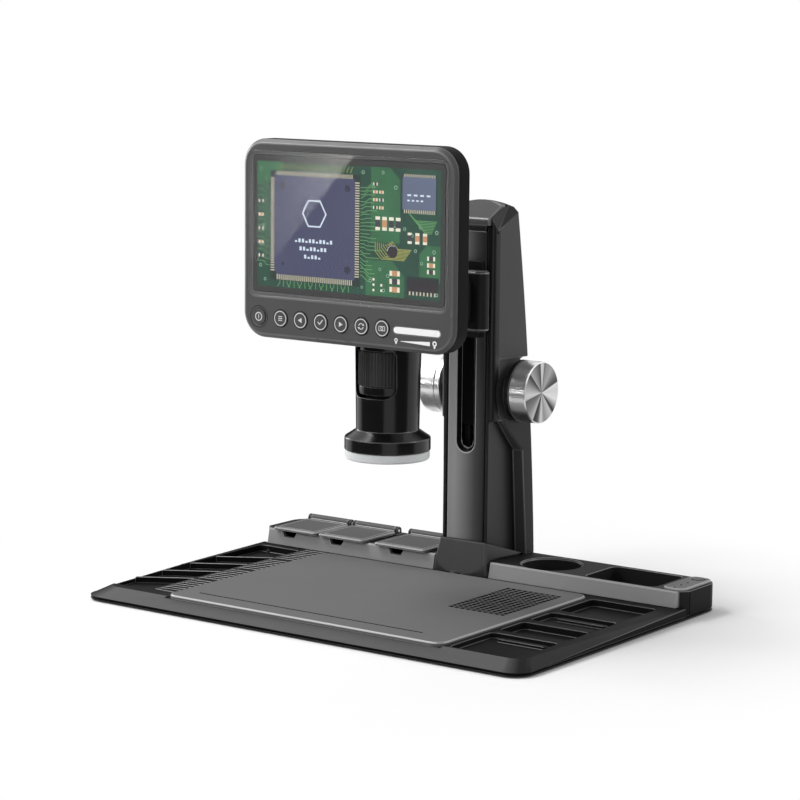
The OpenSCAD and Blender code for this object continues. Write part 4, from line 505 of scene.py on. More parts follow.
for node, (material, width, *more) in FINISH.items():
    if width:
        DRESSED[node] = rounded(node, width, material, *more)
    else:
        mesh = frame["nodes"][node].data
        mesh.materials.clear()
        mesh.materials.append(material)


def repaint(node, material, chosen, keep_edges=False):
    """Another material on the faces of a dressed piece that a test of their middle and direction picks."""
    mesh = DRESSED[node].data
    mesh.materials.append(material)
    for face in mesh.polygons:
        if (not keep_edges or face.material_index != 1) and chosen(face.center / MM, face.normal):
            face.material_index = len(mesh.materials) - 1


# Faces with a paint of their own, painted light and shade among them: their limits, in millimetres in the
# CAD's frame

# The head: faces whose direction turns further to the back than this are its sides
HEAD_FRONT = -0.35
# The post: where its back, its front and its flanks begin, and the slot's side and foot, inside which is
# painted shade
POST_BACK, POST_FRONT, POST_SIDE, SLOT_SIDE, SLOT_FOOT = 82, 79.2, 15.5, 9, 90
# The housing: the line under the cap, the crest beside it, the strip by the post, and the heel at its foot
CAP_LINE, CREST_LINE, CREST_SIDE = 254, 250, 19.3
CHEEK_FRONT, HEEL_TOP, HEEL_BACK, HEEL_SIDE = 85.6, 122, 112, 28.4
# The tray's sloped rim, which takes painted light, and the shelf's right end, which takes painted shade
RIM_LOW, RIM_TOP, RIM_SIDE, RIM_FRONT = 2, 9, 171, -112
SHELF_SIDE = 180
# The mat: the inner line of its lip, which takes a painted highlight, and the field that holds the holes and
# the groove, whose walls take painted shade
LIP_LEFT, LIP_RIGHT, LIP_FRONT, LIP_BACK = -118, 113.6, -112.5, 66.5
FIELD_MIDDLE, FIELD_HALF, FIELD_FRONT, FIELD_BACK = -2.2, 113, -111, 66


def lip_for_painted_highlight(at, way):
    """The mat's rounded lip, all round it, which takes a painted highlight."""
    outer = at.y < LIP_FRONT or at.x < LIP_LEFT or at.x > LIP_RIGHT or at.y > LIP_BACK
    return way.z > 0.1 and abs(way.z) < 0.97 and outer


def mat_hollows_painted_shade(at, way):
    """The walls of the mat's holes and groove, and their rounded edges at the left and the back, which take
    painted shade.
    """
    inner = abs(at.x - FIELD_MIDDLE) < FIELD_HALF and FIELD_FRONT < at.y < FIELD_BACK
    return inner and -0.5 < way.z < 0.97 and (abs(way.z) < 0.1 or way.x > 0.1 or way.y < -0.1)


def rim_for_painted_light(at, way):
    """The tray's sloped rim, at its sides and its front, which takes the painted light."""
    return 0.8 < way.z < 0.98 and RIM_LOW < at.z < RIM_TOP and (abs(at.x) > RIM_SIDE or at.y < RIM_FRONT)


def on_crest(at, way):
    """The housing's top, beside the cap."""
    return at.z > CREST_LINE and way.z > 0.15 and abs(at.x) > CREST_SIDE


def on_strip(at, way):
    """The housing's dark strip beside the post, and its heel's flanks."""
    heel = at.z < HEEL_TOP and at.y < HEEL_BACK and abs(way.x) > 0.7 and abs(at.x) < HEEL_SIDE
    return at.y < CHEEK_FRONT or heel


repaint("screen_bezel", SIDE, lambda at, way: way.y > HEAD_FRONT)
repaint("column_post", STRIP, lambda at, way: abs(way.x) > 0.8 or at.y > POST_BACK, keep_edges=True)
repaint("column_post", STRIP, lambda at, way: abs(at.x) > POST_SIDE and abs(way.x) > 0.2)
# The slot's inside: painted shade, keeping its rounded edges' painted highlight
repaint("column_post", PAINTED_SHADE, lambda at, way: at.y > POST_FRONT and abs(at.x) < SLOT_SIDE and at.z > SLOT_FOOT,
        keep_edges=True)
repaint("column_housing", CHEEK, lambda at, way: at.z > CAP_LINE)
repaint("column_housing", STRIP, on_crest)
repaint("column_housing", STRIP, on_strip)
# The tray's sloped rim: painted light, lighter where it faces the front
repaint("base_tray", TRAY_RIM_PAINTED_LIGHT, rim_for_painted_light)
# The shelf's right end: painted shade, darker than the shelf
repaint("rear_shelf", END, lambda at, way: at.x > SHELF_SIDE and way.x > 0.7)
# The mat's lip: a lighter grey, a painted highlight
repaint("work_mat", MAT_EDGE_HIGHLIGHT, lip_for_painted_highlight)
# The mat's holes and groove: painted shade on their walls
repaint("work_mat", PAINTED_SHADE, mat_hollows_painted_shade)
repaint("knob_collars", KNOB_SIDE, lambda at, way: at.x < 0)

# The knobs: a knurled side and a turned face

# Rows along a knob: share of its depth, radius in millimetres, and whether the knurl is cut into it
KNOB_ROWS = [(0.0, 3.2, False), (0.0, 22.1, False), (0.04, 22.4, False), (0.3, 22.4, False),
             (0.33, 22.4, True), (0.72, 22.4, True), (0.75, 22.4, False), (0.95, 22.4, False),
             (1.0, 21.7, False), (1.0, 0.001, False)]
# Points round a knob, and how deep the knurl cuts in at every second one
KNURL_COUNT, KNURL_DEPTH = 288, 0.16


def knob(node, side):
    """A spun knob: a fine knurl between two plain bands, a chamfer and a flat face."""
    middle_y, middle_z = KNOB_AT[1] / MM, KNOB_AT[2] / MM
    inner, outer = sorted((reach_of(node, 0, 1), reach_of(node, 0, -1)), key=abs)
    depth = abs(outer) - abs(inner)
    points, faces = [], []
    for share, radius, ridged in KNOB_ROWS:
        x = inner + math.copysign(share * depth, outer)
        for i in range(KNURL_COUNT):
            turn = 2 * math.pi * i / KNURL_COUNT
            r = radius - (KNURL_DEPTH if ridged and i % 2 else 0)
            points.append((x, middle_y + r * math.cos(turn), middle_z + r * math.sin(turn)))
    for j in range(len(KNOB_ROWS) - 1):
        low, high = j * KNURL_COUNT, (j + 1) * KNURL_COUNT
        for i in range(KNURL_COUNT):
            k = (i + 1) % KNURL_COUNT
            corners = [low + i, low + k, high + k, high + i]
            faces.append(corners if side > 0 else corners[::-1])
    made = from_faces(node + "_turned", points, faces, KNOB_SIDE, "focus_drive", smooth=20)
    # The flat face takes the painted wedges of reflection
    made.data.materials.append(KNOB_FACE)
    for face in made.data.polygons:
        if abs(face.normal.x) > 0.9:
            face.material_index = 1
    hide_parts(node)


knob("knob_right", 1)
knob("knob_left", -1)

# The screen: a picture of a circuit board under clear glass

# Half the width of the lit picture and its foot and top, its place in depth, and the step between its levels
LIT_X, LIT_Z = 77.1, (226.05, 311.95)
PICTURE_Y = -65.12
STEP_Y = 0.02
# How far a line runs past its ends, as a share of its half width
LINE_PAST = 0.4
draw = random.Random(7)


class Sheet:
    """Flat shapes of one ink, on one level of the picture or of a printed face."""

    def __init__(self, name, material, body="head", slot="display", y=None, level=0):
        self.name, self.material, self.body, self.slot = name, material, body, slot
        self.y = PICTURE_Y - level * STEP_Y if y is None else y
        self.points, self.faces = [], []

    def shape(self, outline):
        """A filled outline of (x, z) points."""
        start = len(self.points)
        self.points += [(x, self.y, z) for x, z in outline]
        self.faces.append(list(range(start, len(self.points))))

    def slab(self, x0, z0, x1, z1):
        """A filled rectangle between two corners."""
        self.shape([(x0, z0), (x1, z0), (x1, z1), (x0, z1)])

    def disc(self, x, z, r, count=20):
        """A filled circle."""
        self.shape([(x + r * math.cos(2 * math.pi * i / count), z + r * math.sin(2 * math.pi * i / count))
                    for i in range(count)])

    def ring(self, x, z, outer, inner, count=40, start=0.0, sweep=360.0):
        """A ring, or a part of one, from four-cornered pieces."""
        whole = sweep >= 360
        for i in range(count):
            corners = []
            for j, r in ((i, outer), (i + 1, outer), (i + 1, inner), (i, inner)):
                turn = math.radians(start + sweep * (j % count if whole else j) / count)
                corners.append((x + r * math.cos(turn), z + r * math.sin(turn)))
            self.shape(corners)

    def line(self, path, width):
        """A strip of even width along a path, with each stretch run a little past its ends."""
        half = width / 2
        for (x0, z0), (x1, z1) in zip(path, path[1:]):
            long = math.hypot(x1 - x0, z1 - z0) or 1
            dx, dz = (x1 - x0) / long * half, (z1 - z0) / long * half
            px, pz = dx * LINE_PAST, dz * LINE_PAST
            self.shape([(x0 - dz - px, z0 + dx - pz), (x1 - dz + px, z1 + dx + pz),
                        (x1 + dz + px, z1 - dx + pz), (x0 + dz - px, z0 - dx - pz)])

    def done(self):
        """Make the sheet a piece of its body, with its faces to the front."""
        mesh = mesh_of(self.name, self.points, self.faces)
        for face in mesh.polygons:
            if face.normal.y > 0:
                face.flip()
        mesh.materials.append(self.material)
        made = link(self.name, mesh)
        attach(made, self.body)


def row_group():
    """Copies of a shape in an even row."""
    tree, start, end = group_tree(
        "even_row", "GeometryNodeTree",
        [("Geometry", "NodeSocketGeometry", None), ("Count", "NodeSocketInt", 10),
         ("Step", "NodeSocketVector", (0.001, 0, 0)), ("Material", "NodeSocketMaterial", None)],
        [("Geometry", "NodeSocketGeometry")])
    line = place(tree, "GeometryNodeMeshLine")
    copies = tree.nodes.new("GeometryNodeInstanceOnPoints")
    real = tree.nodes.new("GeometryNodeRealizeInstances")
    paint = tree.nodes.new("GeometryNodeSetMaterial")
    join = tree.links.new
    join(start.outputs["Count"], line.inputs["Count"])
    join(start.outputs["Step"], line.inputs["Offset"])
    join(line.outputs["Mesh"], copies.inputs["Points"])
    join(start.outputs["Geometry"], copies.inputs["Instance"])
    join(copies.outputs["Instances"], real.inputs["Geometry"])
    join(real.outputs["Geometry"], paint.inputs["Geometry"])
    join(start.outputs["Material"], paint.inputs["Material"])
    join(paint.outputs["Geometry"], end.inputs["Geometry"])
    return tree


ROW = row_group()


# The main chip's sides in the picture, and the two small chips: left, foot, right and top
LEFT, RIGHT, FOOT_Z, TOP_Z = -62.0, 7.0, 235.0, 303.0
SMALL_CHIP = (46.0, 285.0, 73.0, 306.6)
DARK_CHIP = (51.0, 231.0, 75.0, 239.4)
# A round coil's middle, the widths of two kinds of trace, and the pins' pitch up a side and along one
COIL_X, COIL_Z = 38.0, 256.5
GREEN_TRACE, GOLD_TRACE = 0.55, 0.5
PITCH_UP, PITCH_ALONG = 1.7, 1.72
PIN_LEVEL = 4


def pin_row(name, x, z, wide, high, count, step, material):
    """A row of a chip's pins, from one pin."""
    y = PICTURE_Y - PIN_LEVEL * STEP_Y
    corners = ((x, y, z), (x + wide, y, z), (x + wide, y, z + high), (x, y, z + high))
    made = link(name, mesh_of(name, corners, [(0, 1, 2, 3)]))
    rows = made.modifiers.new("row", "NODES")
    rows.node_group = ROW
    names = {item.name: item.identifier for item in ROW.interface.items_tree if item.in_out == "INPUT"}
    rows[names["Count"]] = count
    rows[names["Step"]] = (step[0] * MM, 0.0, step[1] * MM)
    rows[names["Material"]] = material
    settle(made)
    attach(made, "head")


def picture_ground():
    """The board's green, with fields of a lighter green on it."""
    low, high = LIT_Z
    ground = Sheet("picture_ground", lit("picture_green", (0.005, 0.05, 0.03, 1), 0.9, 60.0))
    ground.slab(-LIT_X, low, LIT_X, high)
    ground.done()
    field = Sheet("picture_fields", lit("picture_moss", (0.02, 0.12, 0.045, 1), 0.8, 80.0), level=1)
    for outline in (((-LIT_X, 298), (-60, 298), (-54, 304), (-54, high), (-LIT_X, high)),
                    ((16, low), (48, low), (48, 240), (38, 250), (16, 250)),
                    ((20, 262), (44, 262), (44, 304), (36, high), (20, high)),
                    ((60, 238), (LIT_X, 238), (LIT_X, 262), (66, 262), (60, 256))):
        field.shape(outline)
    field.done()


def picture_traces():
    """Green and gold traces from the main chip to all sides."""
    low, high = LIT_Z
    trace = Sheet("picture_traces", lit("picture_trace", (0.1, 0.3, 0.1, 1), 0.5, 200.0), level=2)
    gold = Sheet("picture_gold_traces", lit("picture_gold", (0.34, 0.34, 0.08, 1), 0.5, 200.0), level=2)
    for i in range(26):
        z = FOOT_Z + 4 + i * 2.35
        reach = 4 + draw.random() * 6
        drop = (i - 13) * 0.28
        trace.line([(RIGHT + 4, z), (RIGHT + reach, z), (RIGHT + reach + abs(drop) + 1, z + drop),
                    (RIGHT + reach + 6 + draw.random() * 9, z + drop)], GREEN_TRACE)
    for i in range(20):
        x = LEFT + 5 + i * 3.1
        trace.line([(x, FOOT_Z - 4), (x, FOOT_Z - 5.5), (x + (i % 3 - 1) * 2.2, low + 0.6)], GREEN_TRACE)
        gold.line([(x + 1.3, TOP_Z + 4), (x + 1.3, TOP_Z + 5.2), (x + 2.9, high - 1.2)], GOLD_TRACE)
    for i in range(14):
        z = FOOT_Z + 6 + i * 4.1
        trace.line([(LEFT - 4, z), (LEFT - 7, z), (LEFT - 9.5, z + 2.5), (-LIT_X + 0.4, z + 2.5)], GOLD_TRACE)
    for i in range(9):
        x, z = 24 + i * 1.7, 251 + i * 0.9
        gold.line([(x, 262 - i * 0.2), (x, 256 + i * 0.9), (x + 5, z), (x + 24 - i, z)], GOLD_TRACE)
        trace.line([(50 + i * 1.2, 284 - i), (56 + i * 1.1, 278 - i), (74 - i * 0.5, 278 - i)], GOLD_TRACE)
    trace.done()
    gold.done()


def picture_shadows():
    """Dark ground round the chips, a little wider than each."""
    shade = Sheet("picture_shadows", lit("picture_shade", (0.004, 0.018, 0.014, 1), 0.3), level=3)
    shade.slab(LEFT - 3.4, FOOT_Z - 4.0, RIGHT + 4.4, TOP_Z + 3.0)
    for (x0, z0, x1, z1), above in ((SMALL_CHIP, 1.8), (DARK_CHIP, 1.6)):
        shade.slab(x0 - 1.0, z0 - 2.0, x1 + 1.0, z1 + above)
    shade.done()


def picture_parts():
    """Vias, and small parts between their two solder ends."""
    holes = Sheet("picture_via_holes", lit("picture_hole", (0.004, 0.02, 0.016, 1)), level=5)
    rims = Sheet("picture_via_rims", lit("picture_rim", (0.25, 0.45, 0.3, 1), 0.3), level=4)
    solder = Sheet("picture_solder", lit("picture_solder", (0.75, 0.74, 0.6, 1), 0.5, 700.0), level=4)
    tan = Sheet("picture_capacitors", lit("picture_tan", (0.5, 0.26, 0.13, 1), 0.3, 300.0), level=5)
    dark = Sheet("picture_resistors", lit("picture_dark", (0.03, 0.03, 0.045, 1), 0.3), level=5)
    for x, z in ((-70, 231), (-74, 240.5), (-69, 300.6), (-73.5, 307), (13, 231), (20, 236), (13.5, 308),
                 (30, 308.5), (40.5, 299), (28, 244), (34.5, 240), (31, 230), (57, 258), (62, 250), (72, 258),
                 (74, 271), (48, 272), (54, 268), (60.5, 273.5), (40, 272), (74.5, 229.9), (-71, 268),
                 (-73, 255), (22, 299)):
        r = 0.9 + 0.5 * draw.random()
        rims.disc(x, z, r)
        holes.disc(x, z, r * 0.6)

    def small_part(x, z, wide, high, body):
        """A passive part: a body between two solder ends, lying or standing."""
        solder.slab(x, z, x + wide, z + high)
        if wide > high:
            body.slab(x + wide * 0.24, z - 0.1, x + wide * 0.76, z + high + 0.1)
        else:
            body.slab(x - 0.1, z + high * 0.24, x + wide + 0.1, z + high * 0.76)

    for i in range(4):
        small_part(24 + i * 5.6, 270, 3.8, 9.2, tan if i == 1 else dark)
    for i in range(3):
        small_part(50.5 + i * 6.2, 262.5, 3.4, 7.4, (dark, tan, tan)[i])
        small_part(36.0, 229.5 + i * 5.4, 8.4, 3.4, (tan, dark, tan)[i])
        small_part(66.5, 243.4 + i * 4.4, 6.4, 2.8, (dark, tan, dark)[i])
    for i in range(7):
        small_part(22.0 + (i % 2) * 5.0, 284.0 + i // 2 * 5.2, 3.6, 2.0, tan if i % 3 else dark)
    for i in range(5):
        small_part(-75.6, 246 + i * 9.4, 4.2, 2.2, tan if i % 2 else dark)
    for x, z in ((22, 229), (22, 232.6), (22, 236.2), (28.5, 229), (28.5, 232.6)):
        solder.slab(x, z, x + 1.6, z + 1.6)
    for made in (rims, holes, solder, tan, dark):
        made.done()


def picture_pins():
    """Rows of pins on the three chips: a row's first pin, how many there are, and the step to the next."""
    pin = lit("picture_pin", (0.5, 0.47, 0.36, 1), 0.6, 900.0)
    for name, x, z, wide, tall, count, step in (
            ("pins_left", LEFT - 3.2, FOOT_Z + 2.2, 3.4, 0.85, 38, (0, PITCH_UP)),
            ("pins_right", RIGHT - 0.2, FOOT_Z + 2.2, 3.8, 0.85, 38, (0, PITCH_UP)),
            ("pins_bottom", LEFT + 2.2, FOOT_Z - 3.6, 0.85, 3.8, 38, (PITCH_ALONG, 0)),
            ("pins_top", LEFT + 2.2, TOP_Z - 0.2, 0.85, 3.0, 38, (PITCH_ALONG, 0)),
            ("pins_memory_top", SMALL_CHIP[0] + 1.3, SMALL_CHIP[3] - 0.6, 0.9, 2.4, 15, (PITCH_ALONG, 0)),
            ("pins_memory_bottom", SMALL_CHIP[0] + 1.3, SMALL_CHIP[1] - 2.4, 0.9, 2.6, 15,
             (PITCH_ALONG, 0)),
            ("pins_driver", DARK_CHIP[0] + 1.0, DARK_CHIP[1] - 2.4, 1.2, 2.4, 8, (2.9, 0))):
        pin_row("picture_" + name, x, z, wide, tall, count, step, pin)


def picture_chips():
    """The main chip with one corner cut, a smaller chip, and dark parts."""
    chip = Sheet("picture_chip", lit("picture_navy", (0.042, 0.048, 0.11, 1), 0.25, 25.0), level=6)
    chip.shape([(LEFT + 3, FOOT_Z), (RIGHT, FOOT_Z), (RIGHT, TOP_Z), (LEFT, TOP_Z), (LEFT, FOOT_Z + 3)])
    chip.done()
    slate = Sheet("picture_small_chips", lit("picture_slate", (0.1, 0.125, 0.2, 1), 0.25, 60.0), level=6)
    slate.slab(*SMALL_CHIP)
    slate.done()
    coal = Sheet("picture_dark_parts", lit("picture_coal", (0.012, 0.009, 0.014, 1), 0.4), level=6)
    coal.slab(*DARK_CHIP)
    coal.disc(LIT_X - 3.0, 276.0, 0.4)
    coal.disc(COIL_X, COIL_Z, 4.4, 32)
    coal.done()


def picture_print():
    """Plain marks on the chips: mould marks, a six-sided outline, and rows of dashes in place of words."""
    marks = Sheet("picture_mould_marks", lit("picture_mark", (0.012, 0.014, 0.035, 1)), level=7)
    for x, z, r in ((-55, 296, 2.6), (0.5, 296.4, 2.4), (0.8, 241.6, 2.6), (-54.5, 242.5, 1.3)):
        marks.disc(x, z, r, 28)
    marks.done()
    print_ink = Sheet("picture_chip_print", lit("picture_print", (0.62, 0.72, 0.82, 1), 0.3), level=7)
    print_ink.ring(-27.5, 278.0, 10.6, 9.4, 6)
    pitch, dash = 3.0, 1.9
    for i, (x0, x1) in enumerate(((-44, -11), (-40, -15), (-36, -19))):
        z = 258 - i * 5.4
        for j in range(int((x1 - x0) / pitch)):
            x = x0 + j * pitch
            print_ink.slab(x, z, x + dash, z + (2.6 if (i + j) % 3 else 1.3))
    x = SMALL_CHIP[0] + 4
    for i in range(4):
        print_ink.slab(x + i * 5.2, 294, x + 3 + i * 5.2, 295.2)
        print_ink.slab(x + i * 3.6, 290.5, x + 2 + i * 3.6, 291.6)
    print_ink.ring(COIL_X, COIL_Z, 4.0, 3.7, 16, 60.0, 120.0)
    print_ink.done()


picture_ground()
picture_traces()
picture_shadows()
picture_parts()
picture_pins()
picture_chips()
picture_print()

# The glass: half its width, its foot, top and back, and its corners' radius and steps
PANE_HALF, PANE_FOOT, PANE_TOP, PANE_BACK = 83.5, 219.0, 319.0, -65.6
PANE_CORNER, CORNER_STEPS = 6.0, 8
# How far its front edge is softened
PANE_SOFT = 0.25


def pane():
    """The screen's clear glass, in front of the picture, with softened edges."""
    front, r = reach_of("screen_glass"), PANE_CORNER
    right, low, high = PANE_HALF - r, PANE_FOOT + r, PANE_TOP - r
    rim = []
    for x, z, start in ((right, high, 0), (-right, high, 90), (-right, low, 180), (right, low, 270)):
        for i in range(CORNER_STEPS + 1):
            turn = math.radians(start + 90 * i / CORNER_STEPS)
            rim.append((x, z, math.cos(turn), math.sin(turn)))
    points, faces = [], []
    for y, inset in ((PANE_BACK, 0.0), (front + PANE_SOFT, 0.0), (front, PANE_SOFT)):
        points += [(x + (r - inset) * over, y, z + (r - inset) * up) for x, z, over, up in rim]
    count = len(rim)
    for low_row, high_row in ((0, count), (count, 2 * count)):
        for i in range(count):
            k = (i + 1) % count
            faces.append([low_row + i, low_row + k, high_row + k, high_row + i])
    faces += [list(range(count)), list(range(2 * count, 3 * count))]
    made = from_faces("screen_pane", points, faces, GLASS, "head")
    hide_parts("screen_glass")


pane()

# Printed marks on the head

PRINT = moulded("pale_print", grey(0.62), (0.5, 0.6), cloud=0.05, depth=0)
GROOVE = moulded("dark_groove", grey(0.012), (0.5, 0.6), cloud=0.05, depth=0, shine=0.1)
# The height of the row of keys, and of the wedge below the touch strip
KEY_Z, WEDGE_Z = 204.7, 197.3
# How far a printed mark stands in front of its face
PRINT_LIFT = 0.03


def icon(ink, name, x):
    """A key's plain icon, about its middle."""
    z = KEY_Z
    if name == "power":
        ink.slab(x - 0.3, z - 1.3, x + 0.3, z + 1.4)
    elif name == "menu":
        for step in (-1.3, 0, 1.3):
            ink.slab(x - 1.7, z + step - 0.3, x + 1.7, z + step + 0.3)
    elif name in ("left", "right"):
        way = 1 if name == "right" else -1
        ink.shape([(x - 1.3 * way, z + 1.8), (x + 1.9 * way, z), (x - 1.3 * way, z - 1.8)])
    elif name == "ok":
        ink.line([(x - 1.9, z + 0.1), (x - 0.6, z - 1.4), (x + 2.0, z + 1.6)], 0.8)
    elif name == "rotate":
        ink.ring(x, z, 2.2, 1.6, 24, 40.0, 130.0)
        ink.ring(x, z, 2.2, 1.6, 24, 220.0, 130.0)
        ink.shape([(x + 0.9, z + 0.6), (x + 2.9, z + 0.6), (x + 1.9, z + 2.0)])
        ink.shape([(x - 0.9, z - 0.6), (x - 2.9, z - 0.6), (x - 1.9, z - 2.0)])
    elif name == "camera":
        ink.line([(x - 2.4, z - 1.5), (x - 2.4, z + 1.3), (x + 2.4, z + 1.3), (x + 2.4, z - 1.5),
                  (x - 2.4, z - 1.5)], 0.5)
        ink.ring(x, z - 0.1, 1.1, 0.6, 20)


def key_marks():
    """A pale ring and a plain icon on each key, and a dark ring in the bezel round it."""
    face = reach_of("screen_bezel") - PRINT_LIFT
    grooves = Sheet("key_grooves", GROOVE, "head", "frame_plastic", y=face)
    for name, x in KEY_X.items():
        node = "button_" + name
        ink = Sheet("key_print_" + name, PRINT, BODY_OF[node], "white_plastic", y=reach_of(node) - PRINT_LIFT)
        if name == "power":
            grooves.ring(x, KEY_Z, 7.7, 7.25, 64)
            ink.ring(x, KEY_Z, 3.1, 2.35, 36)
        else:
            grooves.ring(x, KEY_Z, 6.45, 6.05, 64)
            ink.ring(x, KEY_Z, 5.2, 4.6, 56)
        icon(ink, name, x)
        ink.done()
    grooves.done()


def wedge_marks():
    """The wedge between a small and a large lamp, under the touch strip."""
    ink = Sheet("wedge_print", moulded("white_ink", grey(0.85), (0.5, 0.6), cloud=0.03, depth=0), "head",
                "white_plastic", y=reach_of("screen_bezel") - PRINT_LIFT)
    z = WEDGE_Z
    ink.shape([(46.2, z - 0.15), (70.0, z - 1.4), (70.0, z + 1.4), (46.2, z + 0.15)])
    for x, size in ((42.4, 0.85), (73.8, 1.1)):
        ink.ring(x, z + 0.5, 1.6 * size, 0.75 * size, 24)
        ink.shape([(x - 1.0 * size, z - 0.8 * size), (x + 1.0 * size, z - 0.8 * size),
                   (x + 0.4 * size, z - 2.6 * size), (x - 0.4 * size, z - 2.6 * size)])
    ink.done()


key_marks()
wedge_marks()

# Floor, light and camera, in metres, degrees and watts

# The floor's radius, and the distances from the middle between which it fades to white
FLOOR_RADIUS, FADE_START, FADE_END = 30.0, 0.19, 0.38
# The point that the camera looks at, its turn to the right and up, its roll, and how far off it stands
LOOK_AT = Vector((-1.62, 0.0, 145.55)) * MM
AZIMUTH, ELEVATION, ROLL = (math.radians(v) for v in (35.86, 8.54, 0.56))
DISTANCE = 1.85
# The image's width and the lens's length, both in pixels
IMAGE_W, FOCAL = 800, 2650
BACK = Vector((math.sin(AZIMUTH) * math.cos(ELEVATION), -math.cos(AZIMUTH) * math.cos(ELEVATION),
               math.sin(ELEVATION)))
EYE = LOOK_AT + BACK * DISTANCE
# The flags: steps round each, how far off they begin and stand up, and how high they lie
FLAG_STEPS, FLAG_NEAR, FLAG_FAR, FLAG_LIFT = 16, 0.45, 1.6, 0.002
# The glare card: its rows and columns, how far it stands from the glass, and its light at the edge
CARD_ROWS, CARD_COLUMNS, CARD_REACH, CARD_GLOW = 10, 14, 1.2, 56.0
# Its place in the screen, in millimetres there: its edge's foot, how far that leans right on its way up, how
# far the card runs to the left, and its own foot and height
CARD_EDGE, CARD_LEAN, CARD_WIDE, CARD_FOOT, CARD_HIGH = -62, 78, 90, 244, 86


def seen_by_eye(tree):
    """A mask of the camera's own rays, and of those that come by a mirror or through glass."""
    ray = place(tree, "ShaderNodeLightPath")
    direct = reckon(tree, "MAXIMUM", ray.outputs["Is Camera Ray"], ray.outputs["Is Glossy Ray"])
    return reckon(tree, "MAXIMUM", direct, ray.outputs["Is Transmission Ray"])


def blend(tree, share, first, second, output):
    """Mix two shaders by a share, as a tree's surface."""
    mix = place(tree, "ShaderNodeMixShader")
    tree.links.new(share, mix.inputs["Fac"])
    tree.links.new(first.outputs[0], mix.inputs[1])
    tree.links.new(second.outputs[0], mix.inputs[2])
    tree.links.new(mix.outputs[0], tree.nodes[output].inputs["Surface"])


def floor():
    """A wide pale floor that keeps the shadow near the object and fades to plain white."""
    mesh = bpy.data.meshes.new("floor")
    work = bmesh.new()
    bmesh.ops.create_circle(work, cap_ends=True, segments=96, radius=FLOOR_RADIUS)
    work.to_mesh(mesh)
    work.free()
    made = link("floor", mesh)
    material, tree, shader = blank("pale_floor")
    set_inputs(shader, Base_Color=grey(0.9), Roughness=0.9, Specular_IOR_Level=0.0)
    where = place(tree, "ShaderNodeTexCoord")
    far = place(tree, "ShaderNodeVectorMath", operation="LENGTH")
    fade = place(tree, "ShaderNodeMapRange", interpolation_type="SMOOTHSTEP", From_Min=FADE_START,
                 From_Max=FADE_END)
    tree.links.new(where.outputs["Object"], far.inputs[0])
    tree.links.new(far.outputs["Value"], fade.inputs["Value"])
    share = reckon(tree, "MULTIPLY", fade.outputs[0], seen_by_eye(tree))
    blend(tree, share, shader, place(tree, "ShaderNodeEmission"), "Material Output")
    mesh.materials.append(material)


def sky():
    """White behind the object, and a softer grey light from all round."""
    world = bpy.data.worlds.new("studio")
    SCENE.world = world
    world.use_nodes = True
    tree = world.node_tree
    soft = place(tree, "ShaderNodeBackground", Color=grey(1.0), Strength=0.36)
    white = place(tree, "ShaderNodeBackground", Color=grey(1.0), Strength=1.0)
    blend(tree, seen_by_eye(tree), soft, white, "World Output")


def softbox(name, at, aim, width, height, power):
    """A soft lamp at a place, turned to a point."""
    lamp = bpy.data.lights.new(name, "AREA")
    lamp.shape = "RECTANGLE"
    lamp.size, lamp.size_y = width, height
    lamp.energy = power
    made = link(name, lamp)
    made.location = at
    made.rotation_euler = (Vector(aim) - Vector(at)).to_track_quat("-Z", "Y").to_euler()


def camera():
    """The camera, from its fitted place and turn."""
    lens = bpy.data.cameras.new("camera")
    lens.sensor_width = 36.0
    lens.lens = FOCAL / IMAGE_W * lens.sensor_width
    lens.clip_end = 2 * FLOOR_RADIUS
    made = link("camera", lens)
    side = Vector((math.cos(AZIMUTH), math.sin(AZIMUTH), 0))
    up = BACK.cross(side)
    right = side * math.cos(ROLL) + up * math.sin(ROLL)
    over = up * math.cos(ROLL) - side * math.sin(ROLL)
    made.matrix_world = Matrix.Translation(EYE) @ Matrix((right, over, BACK)).transposed().to_4x4()
    SCENE.camera = made


def mirrored(x, z):
    """Where the camera's ray by a point of the screen's glass reaches the glare card, in metres."""
    point = Vector((x, reach_of("screen_glass"), z)) * MM
    way = (point - EYE).normalized()
    return point + Vector((way.x, -way.y, way.z)) * CARD_REACH


def stage_for_mirrors(name, points, faces, material):
    """A part of the stage that only glossy rays see, from points in metres."""
    mesh = mesh_of(name, points, faces, unit=1.0)
    mesh.materials.append(material)
    made = link(name, mesh)
    made.visible_camera = made.visible_diffuse = made.visible_shadow = made.visible_transmission = False
    return made


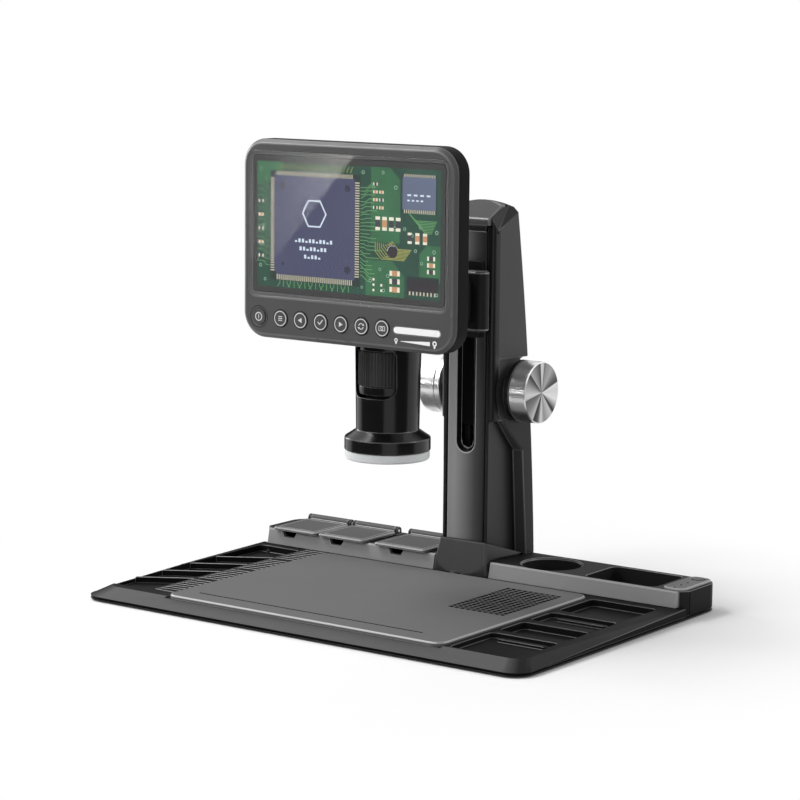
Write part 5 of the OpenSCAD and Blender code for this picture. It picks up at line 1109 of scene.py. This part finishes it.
def flag(name, start, end, high):
    """A black flag round a part of the set, on the floor and standing, that only shades reflections."""
    points, faces = [], []
    for i in range(FLAG_STEPS + 1):
        turn = math.radians(start + (end - start) * i / FLAG_STEPS)
        for far, z in ((FLAG_NEAR, FLAG_LIFT), (FLAG_FAR, FLAG_LIFT), (FLAG_FAR, high)):
            points.append((far * math.cos(turn), far * math.sin(turn), z))
    for i in range(FLAG_STEPS):
        for k in (3 * i, 3 * i + 1):
            faces.append((k, k + 1, k + 4, k + 3))
    material, _, shader = blank("flag_cloth")
    set_inputs(shader, Base_Color=grey(0.01), Specular_IOR_Level=0.0)
    made = stage_for_mirrors(name, points, faces, material)


def glare_card():
    """A pale card that only shows in the screen: a slanting sheet of glare that fades away from its edge."""
    points, faces, glow = [], [], []
    for j in range(CARD_ROWS + 1):
        share = j / CARD_ROWS
        for i in range(CARD_COLUMNS + 1):
            x = CARD_EDGE + CARD_LEAN * share - CARD_WIDE * i / CARD_COLUMNS
            points.append(mirrored(x, CARD_FOOT + CARD_HIGH * share))
            glow.append(CARD_GLOW * (0.12 + 0.88 * share ** 1.3) * (1 - i / CARD_COLUMNS) ** 1.7)
    for j in range(CARD_ROWS):
        for i in range(CARD_COLUMNS):
            k = j * (CARD_COLUMNS + 1) + i
            faces.append((k, k + 1, k + CARD_COLUMNS + 2, k + CARD_COLUMNS + 1))
    material, tree, shader = blank("card_light")
    tree.nodes.remove(shader)
    light = place(tree, "ShaderNodeEmission", Color=grey(1.0))
    amount = place(tree, "ShaderNodeAttribute", attribute_name="glow")
    tree.links.new(amount.outputs["Fac"], light.inputs["Strength"])
    tree.links.new(light.outputs[0], tree.nodes["Material Output"].inputs["Surface"])
    made = stage_for_mirrors("glare_card", points, faces, material)
    made.data.attributes.new("glow", "FLOAT", "POINT").data.foreach_set("value", glow)


floor()
sky()
camera()
glare_card()
flag("flag_left", -162, -68, 0.8)
flag("flag_right", -30, 20, 0.8)
flag("flag_back", 112, 158, 0.6)
softbox("key", (-1.35, -0.4, 1.85), (0, 0, 0.1), 1.1, 1.1, 34)
softbox("front", (-0.9, -1.9, 1.1), (0, 0, 0.15), 1.0, 1.0, 18)
softbox("left_strip", (-1.8, 0.35, 0.5), (0, 0, 0.2), 0.3, 1.0, 10)
softbox("right_strip", (1.5, 0.7, 0.8), (0, 0, 0.2), 0.3, 1.0, 8)
SCENE.view_settings.view_transform = "Standard"
